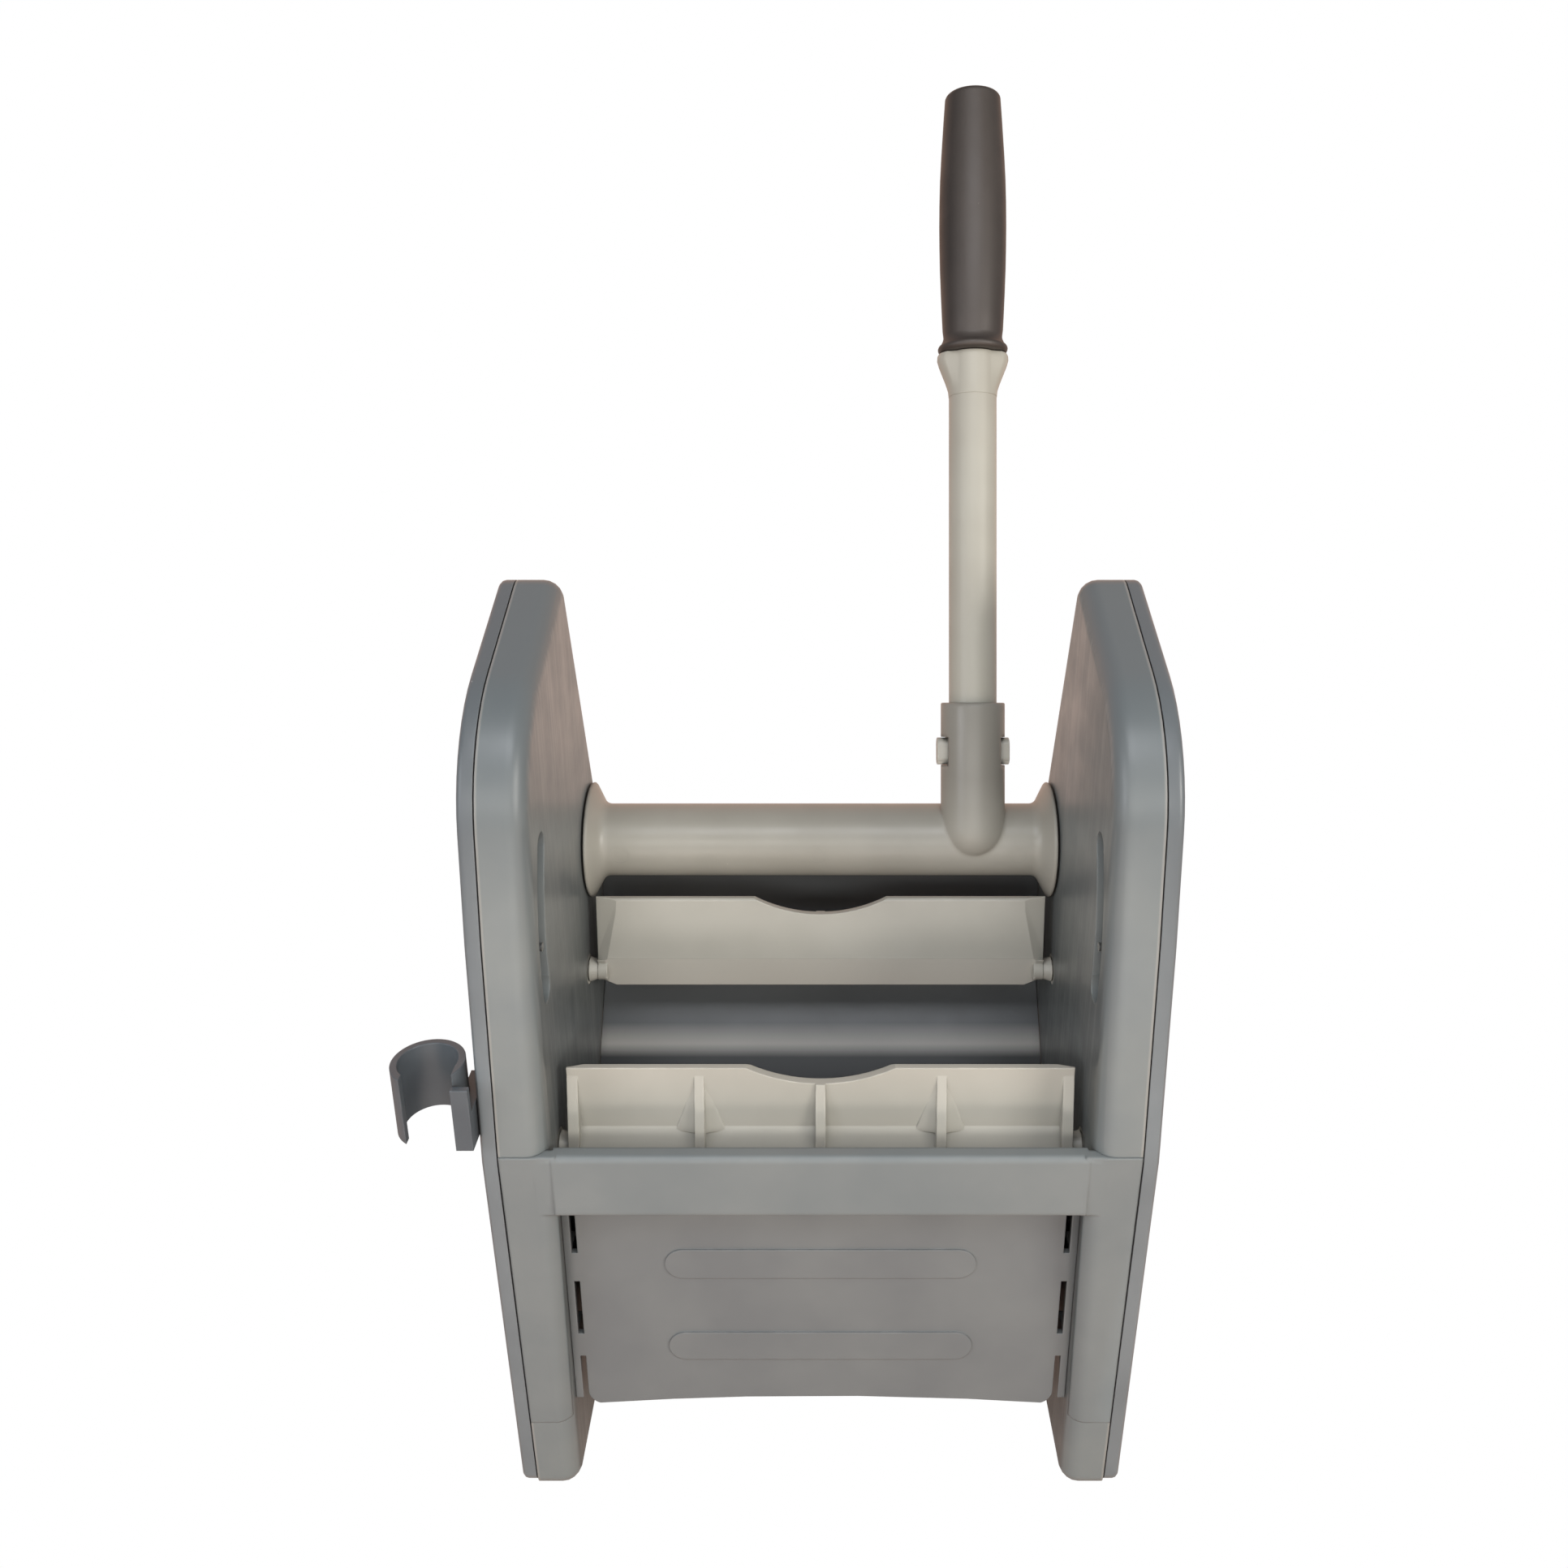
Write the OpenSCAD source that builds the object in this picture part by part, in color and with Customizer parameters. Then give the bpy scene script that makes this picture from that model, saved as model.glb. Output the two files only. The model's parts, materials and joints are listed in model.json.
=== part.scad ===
// Double-jaw mop press: two hollow side panels carry a drive shaft with a hand lever.
// Gears hidden in the panels turn two facing jaws towards each other over a water chute.
// Every shape is drawn around the axis of the drive shaft, X to the right, Y to the rear, Z up.

/* [Panels] */
// Width over the two outer covers
body_w = 300; // [290:1:320]
// Height of the shaft axis above the floor
axis_h = 296; // [280:1:320]
// Thickness of a side panel, housing and cover together
side_t = 29; // [28:0.5:32]
// Thickness of an outer cover
cover_t = 8; // [7:0.5:9]
// Wall of a housing and of a cover
wall = 3; // [2.5:0.1:3.5]
// Wall of a housing around its bearings
bearing_wall = 4; // [3.5:0.1:5]
// Rounding of a housing towards its inner face
inner_round = 9; // [6:0.5:10]
// Rounding of a cover towards its outer face
cover_round = 3; // [2:0.5:4]
// Open seam between a housing and its cover
seam = 0.6; // [0.3:0.1:1]
// How much higher a cover ends than its housing
cover_lift = 2; // [1:0.5:3]
// How far the panel's peak stands above the shaft axis
peak_h = 152; // [146:0.5:156]
// How far the panel reaches in front of the shaft axis
front_reach = 148.5; // [148:0.5:152]
// How far the panel reaches behind the shaft axis
rear_reach = 40; // [36:1:46]

/* [Curved slot] */
// Distance from the panel's foremost point back to the middle of the curved slot
slot_back = 27.5; // [26.5:0.5:30]
// Width of the curved slot
slot_w = 13.5; // [9:0.5:14]
// Depth of the curved slot
slot_depth = 11; // [8:0.5:12]
// Diameter of the pin in the curved slot
slot_pin_d = 4; // [3:0.5:5]

/* [Front frame] */
// Thickness of the frame where it lies over the housings
frame_t = 5; // [4:0.5:6]
// Height of the crossbar
bar_h = 33; // [28:0.5:34]
// Depth of the crossbar's top and bottom flanges
bar_depth = 7.5; // [6:0.5:8]
// Wall of the crossbar
bar_wall = 3.5; // [3:0.1:4]
// Distance from the shaft axis down to the top of the crossbar
bar_drop = 81.5; // [80:0.5:85]
// Length of the frame's legs below the top of the crossbar
leg_len = 166.5; // [150:0.5:175]
// How far the crossbar's ends stand out from the inner face of a housing
leg_proud = 3; // [2:0.5:4]

/* [Drive shaft] */
// Diameter of the shaft between the panels
shaft_d = 37.6; // [35:0.2:39]
// Bore of the hollow shaft
shaft_bore = 29; // [26:0.5:30]
// Diameter of the flared flanges at the panels
flange_d = 60; // [56:0.5:61]
// Length of a flared flange
flange_len = 10.2; // [9:0.2:14]
// Gap between a flange and its panel
flange_gap = 1; // [0.6:0.1:1.4]
// Diameter of the shaft's journals
journal_d = 24; // [22:0.5:26]
// Wall of the shaft's bushes
bush_wall = 3; // [2:0.5:4]

/* [Lever] */
// Distance of the lever from the middle of the press
lever_x = 79; // [72:1:84]
// How far the lever stands in front of the shaft axis
lever_offset = 10; // [8:0.5:11]
// Lean of the resting lever towards the rear
lever_lean = 20; // [16:1:24]
// Diameter of the lever tube
tube_d = 24.6; // [23:0.1:25.5]
// Wall of the lever tube
tube_wall = 2.6; // [2:0.1:3.2]
// Outer diameter of the lever socket
socket_d = 33; // [32:0.5:35]
// Height of the socket's mouth above the shaft axis
socket_top = 72; // [66:1:76]
// Length of the tube that shows between socket and collar
tube_free = 158.5; // [140:0.5:180]
// Length of the collar below the grip
collar_len = 22.5; // [20:0.5:28]
// Diameter of the collar at the grip
collar_d = 37; // [36:0.5:40]
// Length of the grip
grip_len = 134; // [125:1:150]
// Largest diameter of the grip
grip_d = 34.6; // [33:0.2:36]

/* [Release buttons] */
// Height of the buttons above the shaft axis
button_h = 47; // [42:1:50]
// Length of a button
button_len = 14; // [12:0.5:16]
// Width of a button
button_w = 8; // [7:0.5:9]
// How far a button stands out of the socket
button_proud = 2.2; // [1.5:0.1:2.6]

/* [Jaws] */
// Gap between a jaw's end and the panel
jaw_gap = 5; // [4.5:0.5:9]
// Thickness of a jaw's plate
jaw_t = 4; // [3.5:0.1:4.5]
// Height of the plate above the pivot
jaw_h = 41; // [36:0.5:43]
// Height of the bend above the pivot
bend_h = 8; // [6:0.5:10]
// Distance of the pressing face in front of the pivot
face_gap = 5.5; // [5:0.1:6]
// Length of the flange below the bend
lip_len = 22.8; // [20:0.2:25]
// Angle between the plate and the flange
lip_angle = 30; // [24:1:34]
// Lean of the rear jaw towards the rear at rest
rear_lean = 8; // [4:1:9]
// Distance between the centre lines of the ribs
rib_pitch = 55.5; // [50:0.5:60]
// Thickness of a rib
rib_t = 4.5; // [3.5:0.1:5.5]
// Half width of the notch for the mop stick
notch_half = 34; // [28:1:38]
// Depth of the notch
notch_depth = 8.5; // [6:0.5:10]
// Width of the pads that stiffen an outer rib at the bend
pad_w = 23.2; // [20:0.2:28]
// Diameter of the jaw pins
jaw_pin_d = 10; // [9:0.5:11]

/* [Gears] */
// Module of all gears
gear_m = 2.5; // [2.4:0.1:2.5]
// Teeth of the pinion on the shaft
pinion_z = 12; // [12:1:13]
// Teeth of the idler
idler_z = 14; // [13:1:15]
// Teeth on the full circle of the rear jaw's driven arc
drive_z = 24; // [24:1:25]
// Teeth on the full circle of the arcs that join the jaws
sync_z = 40; // [39:1:40]
// Thickness of the gears
gear_t = 9; // [8:0.5:9.5]
// Play between meshing teeth, measured along the pitch circle
backlash = 0.25; // [0.2:0.05:0.4]
// Swing of the lever from rest to the end of its stroke
lever_swing = 100; // [90:1:100]
// Front pivot: distance behind the panel's foremost point
pivot_back = 28.8; // [28:0.1:32]
// Rear pivot: distance below the shaft axis
rear_pivot_z = 62.5; // [58:0.5:66]
// Direction from the rear pivot down to the front pivot
pivot_fall = 20.5; // [19:0.5:22]
// Diameter of the idler's axle
axle_d = 8; // [7:0.5:9]

/* [Water chute] */
// Gap between the chute's front panel and a side panel
chute_gap = 6.5; // [5:0.5:9]
// How far the chute's front panel stands behind the side panels' foremost point
chute_set = 17.5; // [15:0.5:19]
// Wall of the chute
chute_wall = 3; // [2.5:0.1:3.5]
// Height of the chute's lower edge above the floor
chute_floor_gap = 50.5; // [48:0.5:60]
// Rise of the arched lower edge at its middle
arch_rise = 5; // [3:0.5:7]
// Width of an embossed field
boss_w = 147; // [130:1:160]
// Height of an embossed field
boss_h = 17; // [14:0.5:19]
// How far an embossed field stands out
boss_out = 0.8; // [0.5:0.1:1.2]

/* [Mop handle clip] */
// Diameter of the mop handle that the clip holds
stick_d = 26; // [23:0.5:28]
// Wall of the clip
clip_wall = 3; // [2.6:0.1:3.4]
// Height of the clip
clip_h = 33; // [28:1:38]
// Height of the clip's middle below the shaft axis
clip_drop = 52.5; // [48:0.5:60]
// Distance from the panel's foremost point back to the middle of the clip
clip_back = 7.5; // [4:0.5:12]
// Thickness of the clip's block
block_t = 7.5; // [7:0.5:10]
// Length of the clip's block
block_len = 32; // [30:1:36]

/* [Screws] */
// Diameter of the panel screws
screw_d = 4; // [3.5:0.5:4.5]
// Diameter of the panel screws' heads
head_d = 8; // [7:0.5:8.5]

/* [Hidden] */
$fn = 64;

// Running play and the loose fit of parts that don't turn in each other
run_play = 0.05;
fit_play = 0.1;
// Clearance between pieces that pass each other
pass_gap = 0.3;
// Thinnest slice of a rounded shell
slice = 0.01;

// Planes across the panels, measured from the middle of the press
half_w = body_w / 2;
inner_x = half_w - side_t;
seam_x = half_w - cover_t;
bearing_x = inner_x + bearing_wall;
gear_x = bearing_x + 2;
gear_end = gear_x + gear_t;
cover_in = half_w - wall;
floor_z = -axis_h;
jaw_half_w = inner_x - jaw_gap;
chute_half_w = inner_x - chute_gap;
chute_front = front_reach - chute_set;
clip_front = front_reach - clip_back;
slot_r = front_reach - slot_back;

// Corners of a panel's side view, each with its height and its rounding
side_corners = [
    [-21, peak_h, 12],
    [20 - front_reach, 109, 70],
    [8.5 - front_reach, 20, 120],
    [-front_reach, -85, 150],
    [11 - front_reach, floor_z, inner_round + 1],
    [-2, floor_z, 14],
    [rear_reach, -20, 40]
];
cover_corners = [for (c = side_corners) c[1] == floor_z ? [c[0], floor_z + cover_lift, c[2]] : c];

// Front of the panel at a height below the crossbar's top
front_at = function (z) -front_reach + 11 * max(0, -85 - z) / (axis_h - 85);

// Screw places of a cover, in the side view
screw_places = [
    [-46, 116], [14, -52], [18.5 - front_reach, -172], [36.5 - front_reach, floor_z + 22], [-22, floor_z + 24]
];
screw_boss_d = head_d + 2;
head_h = 2.6;
head_seat = half_w - 3;
lip_in = wall + 0.5 + fit_play;
lip_t = 2;

// Curved slot
slot_from = 155;
slot_to = 186;
slot_rim = 2;
slot_floor = inner_x + slot_depth;
slot_pin_at = 176;
slot_pin_tip = inner_x + 0.2;

// Front frame
bar_top = -bar_drop;
bar_bottom = bar_top - bar_h;
bar_x = inner_x - leg_proud;
leg_end = bar_top - leg_len;

// Drive shaft
flange_x = inner_x - flange_gap;
bush_flange_t = 1.5;
spigot_d = 16;
spigot_flat = 13;
pinion_screw_d = 6;
pinion_screw_len = 16;
flare_rim = 1.2;
flare_fillet = 5;
flare_turn = 58;
notch_wall = 1;

// Lever
socket_base = 8;
tube_bottom = socket_base + 3;
grip_cap = 14;
tube_top = socket_top + tube_free + collar_len + grip_len - grip_cap;
collar_z = socket_top + tube_free;
collar_wall = 0.8;
wing_t = 15;
grip_z = collar_z + collar_len;
lever_top = grip_z + grip_len;
grip_end_r = 12.65;
bead_r = 18;
button_base = tube_d / 2 - tube_wall - 2.1;
button_base_t = 1;

// Gear train
pitch_r = function (z) gear_m * z / 2;
sync_gap = 2 * pitch_r(sync_z);
rear_pivot = [pivot_back - front_reach + sync_gap * cos(pivot_fall), -rear_pivot_z];
front_pivot = rear_pivot + sync_gap * [-cos(pivot_fall), -sin(pivot_fall)];
shaft_to_idler = pitch_r(pinion_z) + pitch_r(idler_z);
idler_to_rear = pitch_r(idler_z) + pitch_r(drive_z);
shaft_to_rear = norm(rear_pivot);
idler_along = (shaft_to_idler ^ 2 - idler_to_rear ^ 2 + shaft_to_rear ^ 2) / (2 * shaft_to_rear);
idler_across = sqrt(shaft_to_idler ^ 2 - idler_along ^ 2);
rear_dir = rear_pivot / shaft_to_rear;
idler_at = idler_along * rear_dir + idler_across * [rear_dir[1], -rear_dir[0]];
heading = function (from, to) atan2(to[1] - from[1], to[0] - from[0]);
idler_dir = heading([0, 0], idler_at);
drive_dir = heading(idler_at, rear_pivot);
sync_dir = 180 + pivot_fall;

// Angles of one tooth on each gear, so that every pair meshes at rest
meshed = function (dir, z_a, tooth_a, z_b) dir + 180 + (180 - (tooth_a - dir) * z_a) / z_b;
pinion_tooth = idler_dir;
idler_tooth = meshed(idler_dir, pinion_z, pinion_tooth, idler_z);
drive_tooth = meshed(drive_dir, idler_z, idler_tooth, drive_z);
rear_sync_tooth = sync_dir;
front_sync_tooth = meshed(sync_dir, sync_z, rear_sync_tooth, sync_z);

// Jaws swing by this much, and the toothed arcs reach this far past their contact
jaw_swing = lever_swing * pinion_z / drive_z;
arc_spare = 8;
edge_spare = 1;
arc_edge = function (z, tooth_at, from)
    let (step = 360 / z) tooth_at + (ceil((from - tooth_at) / step) - 0.5) * step - edge_spare;
rear_drive_from = arc_edge(drive_z, drive_tooth, drive_dir - 180 - jaw_swing - arc_spare);
front_sync_from = arc_edge(sync_z, front_sync_tooth, pivot_fall - arc_spare);
hub_r = 12;
drive_mid = drive_dir - 180;
stop_gap = 0.5;
stop_t = 3;

// Jaw section: top, bend and tip, seen from the side with the pressing face at +x
lip_dir = [-sin(lip_angle), -cos(lip_angle)];
bend_at = [face_gap, bend_h];
tip_at = bend_at + lip_len * lip_dir;
back_of = function (p) p - jaw_t * [cos(lip_angle), -sin(lip_angle)];
bend_back = [face_gap - jaw_t, bend_h + jaw_t * tan(lip_angle / 2)];
rib_top = jaw_h - 2;
end_t = 5;
bevel_top = 11;
bevel_bottom = 4;
collar_r = 6.5;
pad_low = bend_h - 1;
pad_edge = 1.2;
pad_reach = 3.6;
lip_cut = [8, 5];
jaw_screw_d = 4;
jaw_screw_len = 14;

// Water chute
chute_bottom = floor_z + chute_floor_gap;
chute_top = bar_bottom - 8;
chute_side = inner_x - 0.2;
tab_places = [[-159.5, 17], [-207.5, 14]];
boss_places = [-157, -207.5];
side_slot = 2.8;
strip_end = 4;

// Mop handle clip
clip_x = half_w + block_t + stick_d / 2 - 0.4;
clip_reach = clip_x + stick_d / 2 + clip_wall;
clip_open = 17.6;
clip_low = -clip_drop - clip_h / 2;
block_lead = 14;
block_front = clip_front + block_lead;
clip_r = stick_d / 2 + clip_wall;
lug_low = clip_low - 3;
lug_h = clip_h - 2;
lug_t = 3;
foot_h = 18;

// Place of the origin: under the middle of the whole object, on the floor
lever_back = lever_top * sin(lever_lean) - lever_offset * cos(lever_lean) + grip_end_r;
shift = [(clip_reach - half_w) / 2, (block_front - lever_back) / 2, axis_h];

// Corner arcs of an outline given anticlockwise, drawn inwards by inset
function smooth(corners, inset = 0) =
    let (n = len(corners))
    [for (i = [0:n - 1])
        let (
            p = corners[i],
            a = corners[(i + n - 1) % n],
            b = corners[(i + 1) % n],
            in_dir = atan2(p[1] - a[1], p[0] - a[0]),
            out_dir = atan2(b[1] - p[1], b[0] - p[0]),
            turn = (out_dir - in_dir + 540) % 360 - 180,
            side = sign(turn),
            from = in_dir - 90,
            both = [cos(from) + cos(from + turn), sin(from) + sin(from + turn)],
            middle = [p[0], p[1]] - side * both * p[2] / (1 + cos(turn)),
            steps = max(2, ceil(abs(turn) / 7)),
            reach = side > 0 ? max(p[2] - inset, 0.2) : -p[2] - inset
        )
        for (k = [0:steps])
            middle + reach * [cos(from + turn * k / steps), sin(from + turn * k / steps)]
    ];

// Half angle of a gear tooth at radius r
pressure = 25;
involute = function (a) tan(a) * 180 / PI - a;
function half_tooth(z, r) =
    let (
        pitch = pitch_r(z),
        base = pitch * cos(pressure),
        at_pitch = 90 / z - backlash / pitch * 45 / PI
    )
    at_pitch + involute(pressure) - (r > base ? involute(acos(base / r)) : 0);

// Outline of one tooth whose middle points at angle mid
function tooth(z, mid) =
    let (
        root = pitch_r(z) - gear_m,
        tip = pitch_r(z) + 0.8 * gear_m,
        steps = 5,
        radii = [for (k = [1:steps]) root + (tip - root) * k / steps]
    )
    concat(
        [(root - 1) * [cos(mid - half_tooth(z, root)), sin(mid - half_tooth(z, root))]],
        [for (r = radii) r * [cos(mid - half_tooth(z, r)), sin(mid - half_tooth(z, r))]],
        [for (k = [steps - 1:-1:0])
            let (r = radii[k])
            r * [cos(mid + half_tooth(z, r)), sin(mid + half_tooth(z, r))]],
        [(root - 1) * [cos(mid + half_tooth(z, root)), sin(mid + half_tooth(z, root))]]
    );

// Draws a side view upright and gives it its width from x0 to x1
module across(x0, x1) {
    translate([x0, 0, 0]) rotate([90, 0, 90]) linear_extrude(x1 - x0) children();
}

// A round bar along X, at a place in the side view
module bar_x(d, x0, x1, at = [0, 0]) {
    translate([x0, at[0], at[1]]) rotate([0, 90, 0]) cylinder(d = d, h = x1 - x0);
}

// A cone along X
module cone_x(d0, d1, x0, x1, at = [0, 0]) {
    translate([x0, at[0], at[1]]) rotate([0, 90, 0]) cylinder(d1 = d0, d2 = d1, h = x1 - x0);
}

// A round bar whose two flats carry a turning part
module flat_bar_x(d, flat, x0, x1, at = [0, 0]) {
    intersection() {
        bar_x(d, x0, x1, at);
        translate([x0, at[0] - d, at[1] - flat / 2]) cube([x1 - x0, 2 * d, flat]);
    }
}

module left() {
    mirror([1, 0, 0]) children();
}

module placed() {
    translate(shift) children();
}

module lever_frame() {
    rotate([-lever_lean, 0, 0]) translate([lever_x, -lever_offset, 0]) children();
}

// Outline of a panel, drawn inwards by inset
module outline(inset) {
    polygon(smooth(side_corners, inset));
}

module cover_outline(inset) {
    polygon(smooth(cover_corners, inset));
}

// Solid block of a panel from a rounded inner face at x0 to the seam
module panel_block(x0, x1) {
    hull() {
        for (a = [0:18:90])
            across(x0 + inner_round * (1 - cos(a)), x0 + inner_round * (1 - cos(a)) + slice)
                polygon(smooth(side_corners, inner_round * (1 - sin(a))));
        across(x0 + inner_round, x1) outline(0);
    }
}

// Band along an arc about the shaft axis, with round ends
module slot_band(width, x0, x1) {
    across(x0, x1) {
        polygon(concat(
            [for (a = [slot_from:5:slot_to]) (slot_r - width / 2) * [cos(a), sin(a)]],
            [for (a = [slot_to:-5:slot_from]) (slot_r + width / 2) * [cos(a), sin(a)]]
        ));
        for (a = [slot_from, slot_to])
            translate(slot_r * [cos(a), sin(a)]) circle(d = width);
    }
}

// The zone of a panel that the front frame lies over
module frame_zone(x0, x1, play) {
    translate([x0, -front_reach - 10, leg_end - play])
        cube([x1 - x0, front_reach - chute_front + 30, leg_len + 2 * play]);
}

// Rib that stops a toothed sector, along the sector's edge at an angle about its pivot
module stop_rib(pivot, angle, reach) {
    from = hub_r + 4;
    across(bearing_x - 1, gear_end)
        translate(pivot) rotate(angle) translate([from, -stop_t - stop_gap]) square([reach - from, stop_t]);
}

module side_housing() {
    difference() {
        union() {
            difference() {
                panel_block(inner_x, seam_x);
                across(bearing_x, seam_x + 1) outline(wall + 0.5);
                difference() {
                    frame_zone(inner_x - 1, seam_x + 1, 0);
                    across(inner_x - 2, seam_x + 2) outline(frame_t);
                }
            }
            intersection() {
                across(bearing_x - 1, seam_x) outline(frame_t);
                difference() {
                    frame_zone(bearing_x - 1, seam_x, wall);
                    across(inner_x - 2, seam_x + 1) outline(frame_t + wall);
                }
            }
            for (p = screw_places) bar_x(screw_boss_d, bearing_x - 1, seam_x, p);
            bar_x(axle_d + 7, bearing_x - 1, gear_x - pass_gap, idler_at);
            slot_band(slot_w + 2 * slot_rim, bearing_x - 1, slot_floor + slot_rim);
            stop_rib(rear_pivot, rear_drive_from, pitch_r(drive_z) - 2 * gear_m);
            stop_rib(front_pivot, front_sync_from - jaw_swing, pitch_r(sync_z) - 2 * gear_m);
        }
        bar_x(journal_d + 2 * bush_wall, inner_x - 1, gear_x, [0, 0]);
        for (p = [rear_pivot, front_pivot]) bar_x(jaw_pin_d + 2 * bush_wall, inner_x - 1, gear_x, p);
        bar_x(axle_d, inner_x + 1.5, gear_x, idler_at);
        for (p = screw_places) bar_x(screw_d, bearing_x, seam_x + 1, p);
        slot_band(slot_w, inner_x - 1, slot_floor);
        bar_x(slot_pin_d, slot_floor - 1, slot_floor + slot_rim / 2, slot_pin_place);
        for (z = tab_z) bar_x(screw_d, inner_x - 1, bearing_x + 1, [tab_y, z]);
        bar_x(screw_d, inner_x - 1, bearing_x + 1, rear_screw_at);
        for (z = frame_screw_z) frame_screw(frame_screw_x, z, screw_d, frame_t + wall + 1);
    }
}

slot_pin_place = slot_r * [cos(slot_pin_at), sin(slot_pin_at)];
tab_z = [for (t = tab_places) t[0]];
tab_y = -chute_front + 7;
rear_screw_at = [16, -101];

module outer_cover() {
    difference() {
        union() {
            difference() {
                hull() {
                    for (a = [0:30:90])
                        across(half_w - cover_round * (1 - cos(a)) - slice, half_w - cover_round * (1 - cos(a)))
                            cover_outline(cover_round * (1 - sin(a)));
                    across(seam_x + seam, half_w - cover_round) cover_outline(0);
                }
                across(seam_x, cover_in) cover_outline(lip_in + lip_t);
            }
            difference() {
                across(seam_x - 2, seam_x + seam + 1) cover_outline(lip_in);
                across(seam_x - 3, cover_in) cover_outline(lip_in + lip_t);
                for (p = screw_places) bar_x(screw_boss_d + 2 * pass_gap, seam_x - 3, seam_x, p);
                frame_zone(seam_x - 3, seam_x, wall + 1);
            }
            for (p = screw_places) bar_x(screw_boss_d, seam_x, half_w - 1, p);
            bar_x(axle_d + 6, gear_end + pass_gap, half_w - 1, idler_at);
            bar_x(spigot_d + 10, cover_in - 1, half_w - 1, [0, 0]);
        }
        for (p = screw_places) {
            bar_x(screw_d + 0.4, seam_x - 1, half_w + 1, p);
            bar_x(head_d + 0.4, head_seat, half_w + 1, p);
        }
        bar_x(axle_d + fit_play, gear_end, half_w - wall, idler_at);
        for (z = clip_screw_z) bar_x(screw_d, cover_in - 1, half_w + 1, [clip_screw_y, z]);
    }
}

clip_screw_y = -clip_front + 8;
clip_screw_z = [lug_low + foot_h / 4, lug_low + 3 * foot_h / 4];

// Inverted U over the fronts of both housings, with the crossbar between them
module front_frame() {
    color("#8E9293") difference() {
        union() {
            leg_half();
            left() leg_half();
            across(-bar_x - 1, bar_x + 1) polygon(smooth(bar_section));
        }
        for (s = [-1, 1], z = frame_screw_z) frame_screw(s * frame_screw_x, z, screw_d, frame_t + wall + 1);
    }
}

// Bar along Y that starts just inside the front of a leg
module frame_screw(x, z, d, len) {
    translate([x, front_at(z) + screw_cover, z]) rotate([-90, 0, 0]) cylinder(d = d, h = len);
}

bar_section = [
    [bar_depth - front_reach, bar_top, 0.5],
    [-front_reach, bar_top, 3],
    [-front_reach, bar_bottom, 3],
    [bar_depth - front_reach, bar_bottom, 0.5],
    [bar_depth - front_reach, bar_bottom + bar_wall, 0.5],
    [bar_wall - front_reach, bar_bottom + bar_wall, 1],
    [bar_wall - front_reach, bar_top - bar_wall, 1],
    [bar_depth - front_reach, bar_top - bar_wall, 0.5]
];
frame_screw_x = seam_x - 8;
screw_cover = 1.4;
frame_screw_z = [bar_top - 14, leg_end + 14];

// Front of one housing: level with the crossbar above, then a leg that runs out flush with the inner face
module leg_half() {
    difference() {
        union() {
            hull() {
                leg_slice(bar_top - slice, bar_x);
                leg_slice(bar_bottom, bar_x);
                leg_slice(leg_end, inner_x);
            }
            intersection() {
                across(bar_x - 1, bar_x + inner_round) outline(0);
                translate([bar_x - 2, -front_reach - 1, bar_bottom]) cube([inner_round + 4, 20, bar_h]);
            }
        }
        across(bar_x - 3, seam_x + 1) outline(frame_t);
    }
}

// Thin level cut of a leg at height z, from its rounded inner edge at x0 to the seam
module leg_slice(z, x0) {
    front = front_at(z);
    back = front + inner_round + 2;
    translate([0, 0, z]) linear_extrude(slice)
        polygon(smooth([[x0, back, 0.2], [x0, front, inner_round], [seam_x, front, 0.2], [seam_x, back, 0.2]]));
}

// Front panel with its side tabs, side walls and the curved rear wall
module water_chute() {
    color("#77797A") difference() {
        union() {
            chute_panel();
            chute_back();
            for (s = [0, 1]) mirror([s, 0, 0]) chute_side_wall();
        }
        for (s = [-1, 1]) {
            for (z = tab_z) bar_x(screw_d, s * inner_x - 8, s * inner_x + 8, [tab_y, z]);
            bar_x(screw_d, s * inner_x - 8, s * inner_x + 8, rear_screw_at);
        }
    }
}

module chute_panel() {
    panel_corners = [
        [chute_half_w, chute_top, 3],
        [-chute_half_w, chute_top, 3],
        [-chute_half_w, chute_bottom, 8],
        [chute_half_w, chute_bottom, 8]
    ];
    arch_r = (chute_half_w ^ 2 + arch_rise ^ 2) / (2 * arch_rise);
    translate([0, -chute_front + chute_wall, 0]) rotate([90, 0, 0]) {
        linear_extrude(chute_wall) difference() {
            polygon(smooth(panel_corners));
            translate([0, chute_bottom + arch_rise - arch_r]) circle(r = arch_r, $fn = 256);
        }
        for (z = boss_places) translate([0, z]) linear_extrude(chute_wall + boss_out)
            for (s = [0, 1]) mirror([s, 0]) {
                translate([boss_w / 2 - boss_h / 2, 0]) circle(d = boss_h);
                translate([-1, -boss_h / 2]) square([boss_w / 2 - boss_h / 2 + 1, boss_h]);
            }
    }
}

back_corners = [
    [24, -26, 1],
    [20, -84, 12],
    [-12, -120, 20],
    [-45, -162, 30],
    [-62, chute_bottom + 4, 1],
    [-62 + chute_wall, chute_bottom + 4, 1],
    [-45 + chute_wall, -161, 30],
    [-12 + chute_wall, -118.7, 20],
    [20 + chute_wall, -83, 12],
    [24 + chute_wall, -26, 1]
];

module chute_back() {
    across(-chute_side, chute_side) polygon(smooth(back_corners));
}

// Rear end of the funnel's side walls, inside the rear wall
wall_end = [-28, -143];

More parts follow.
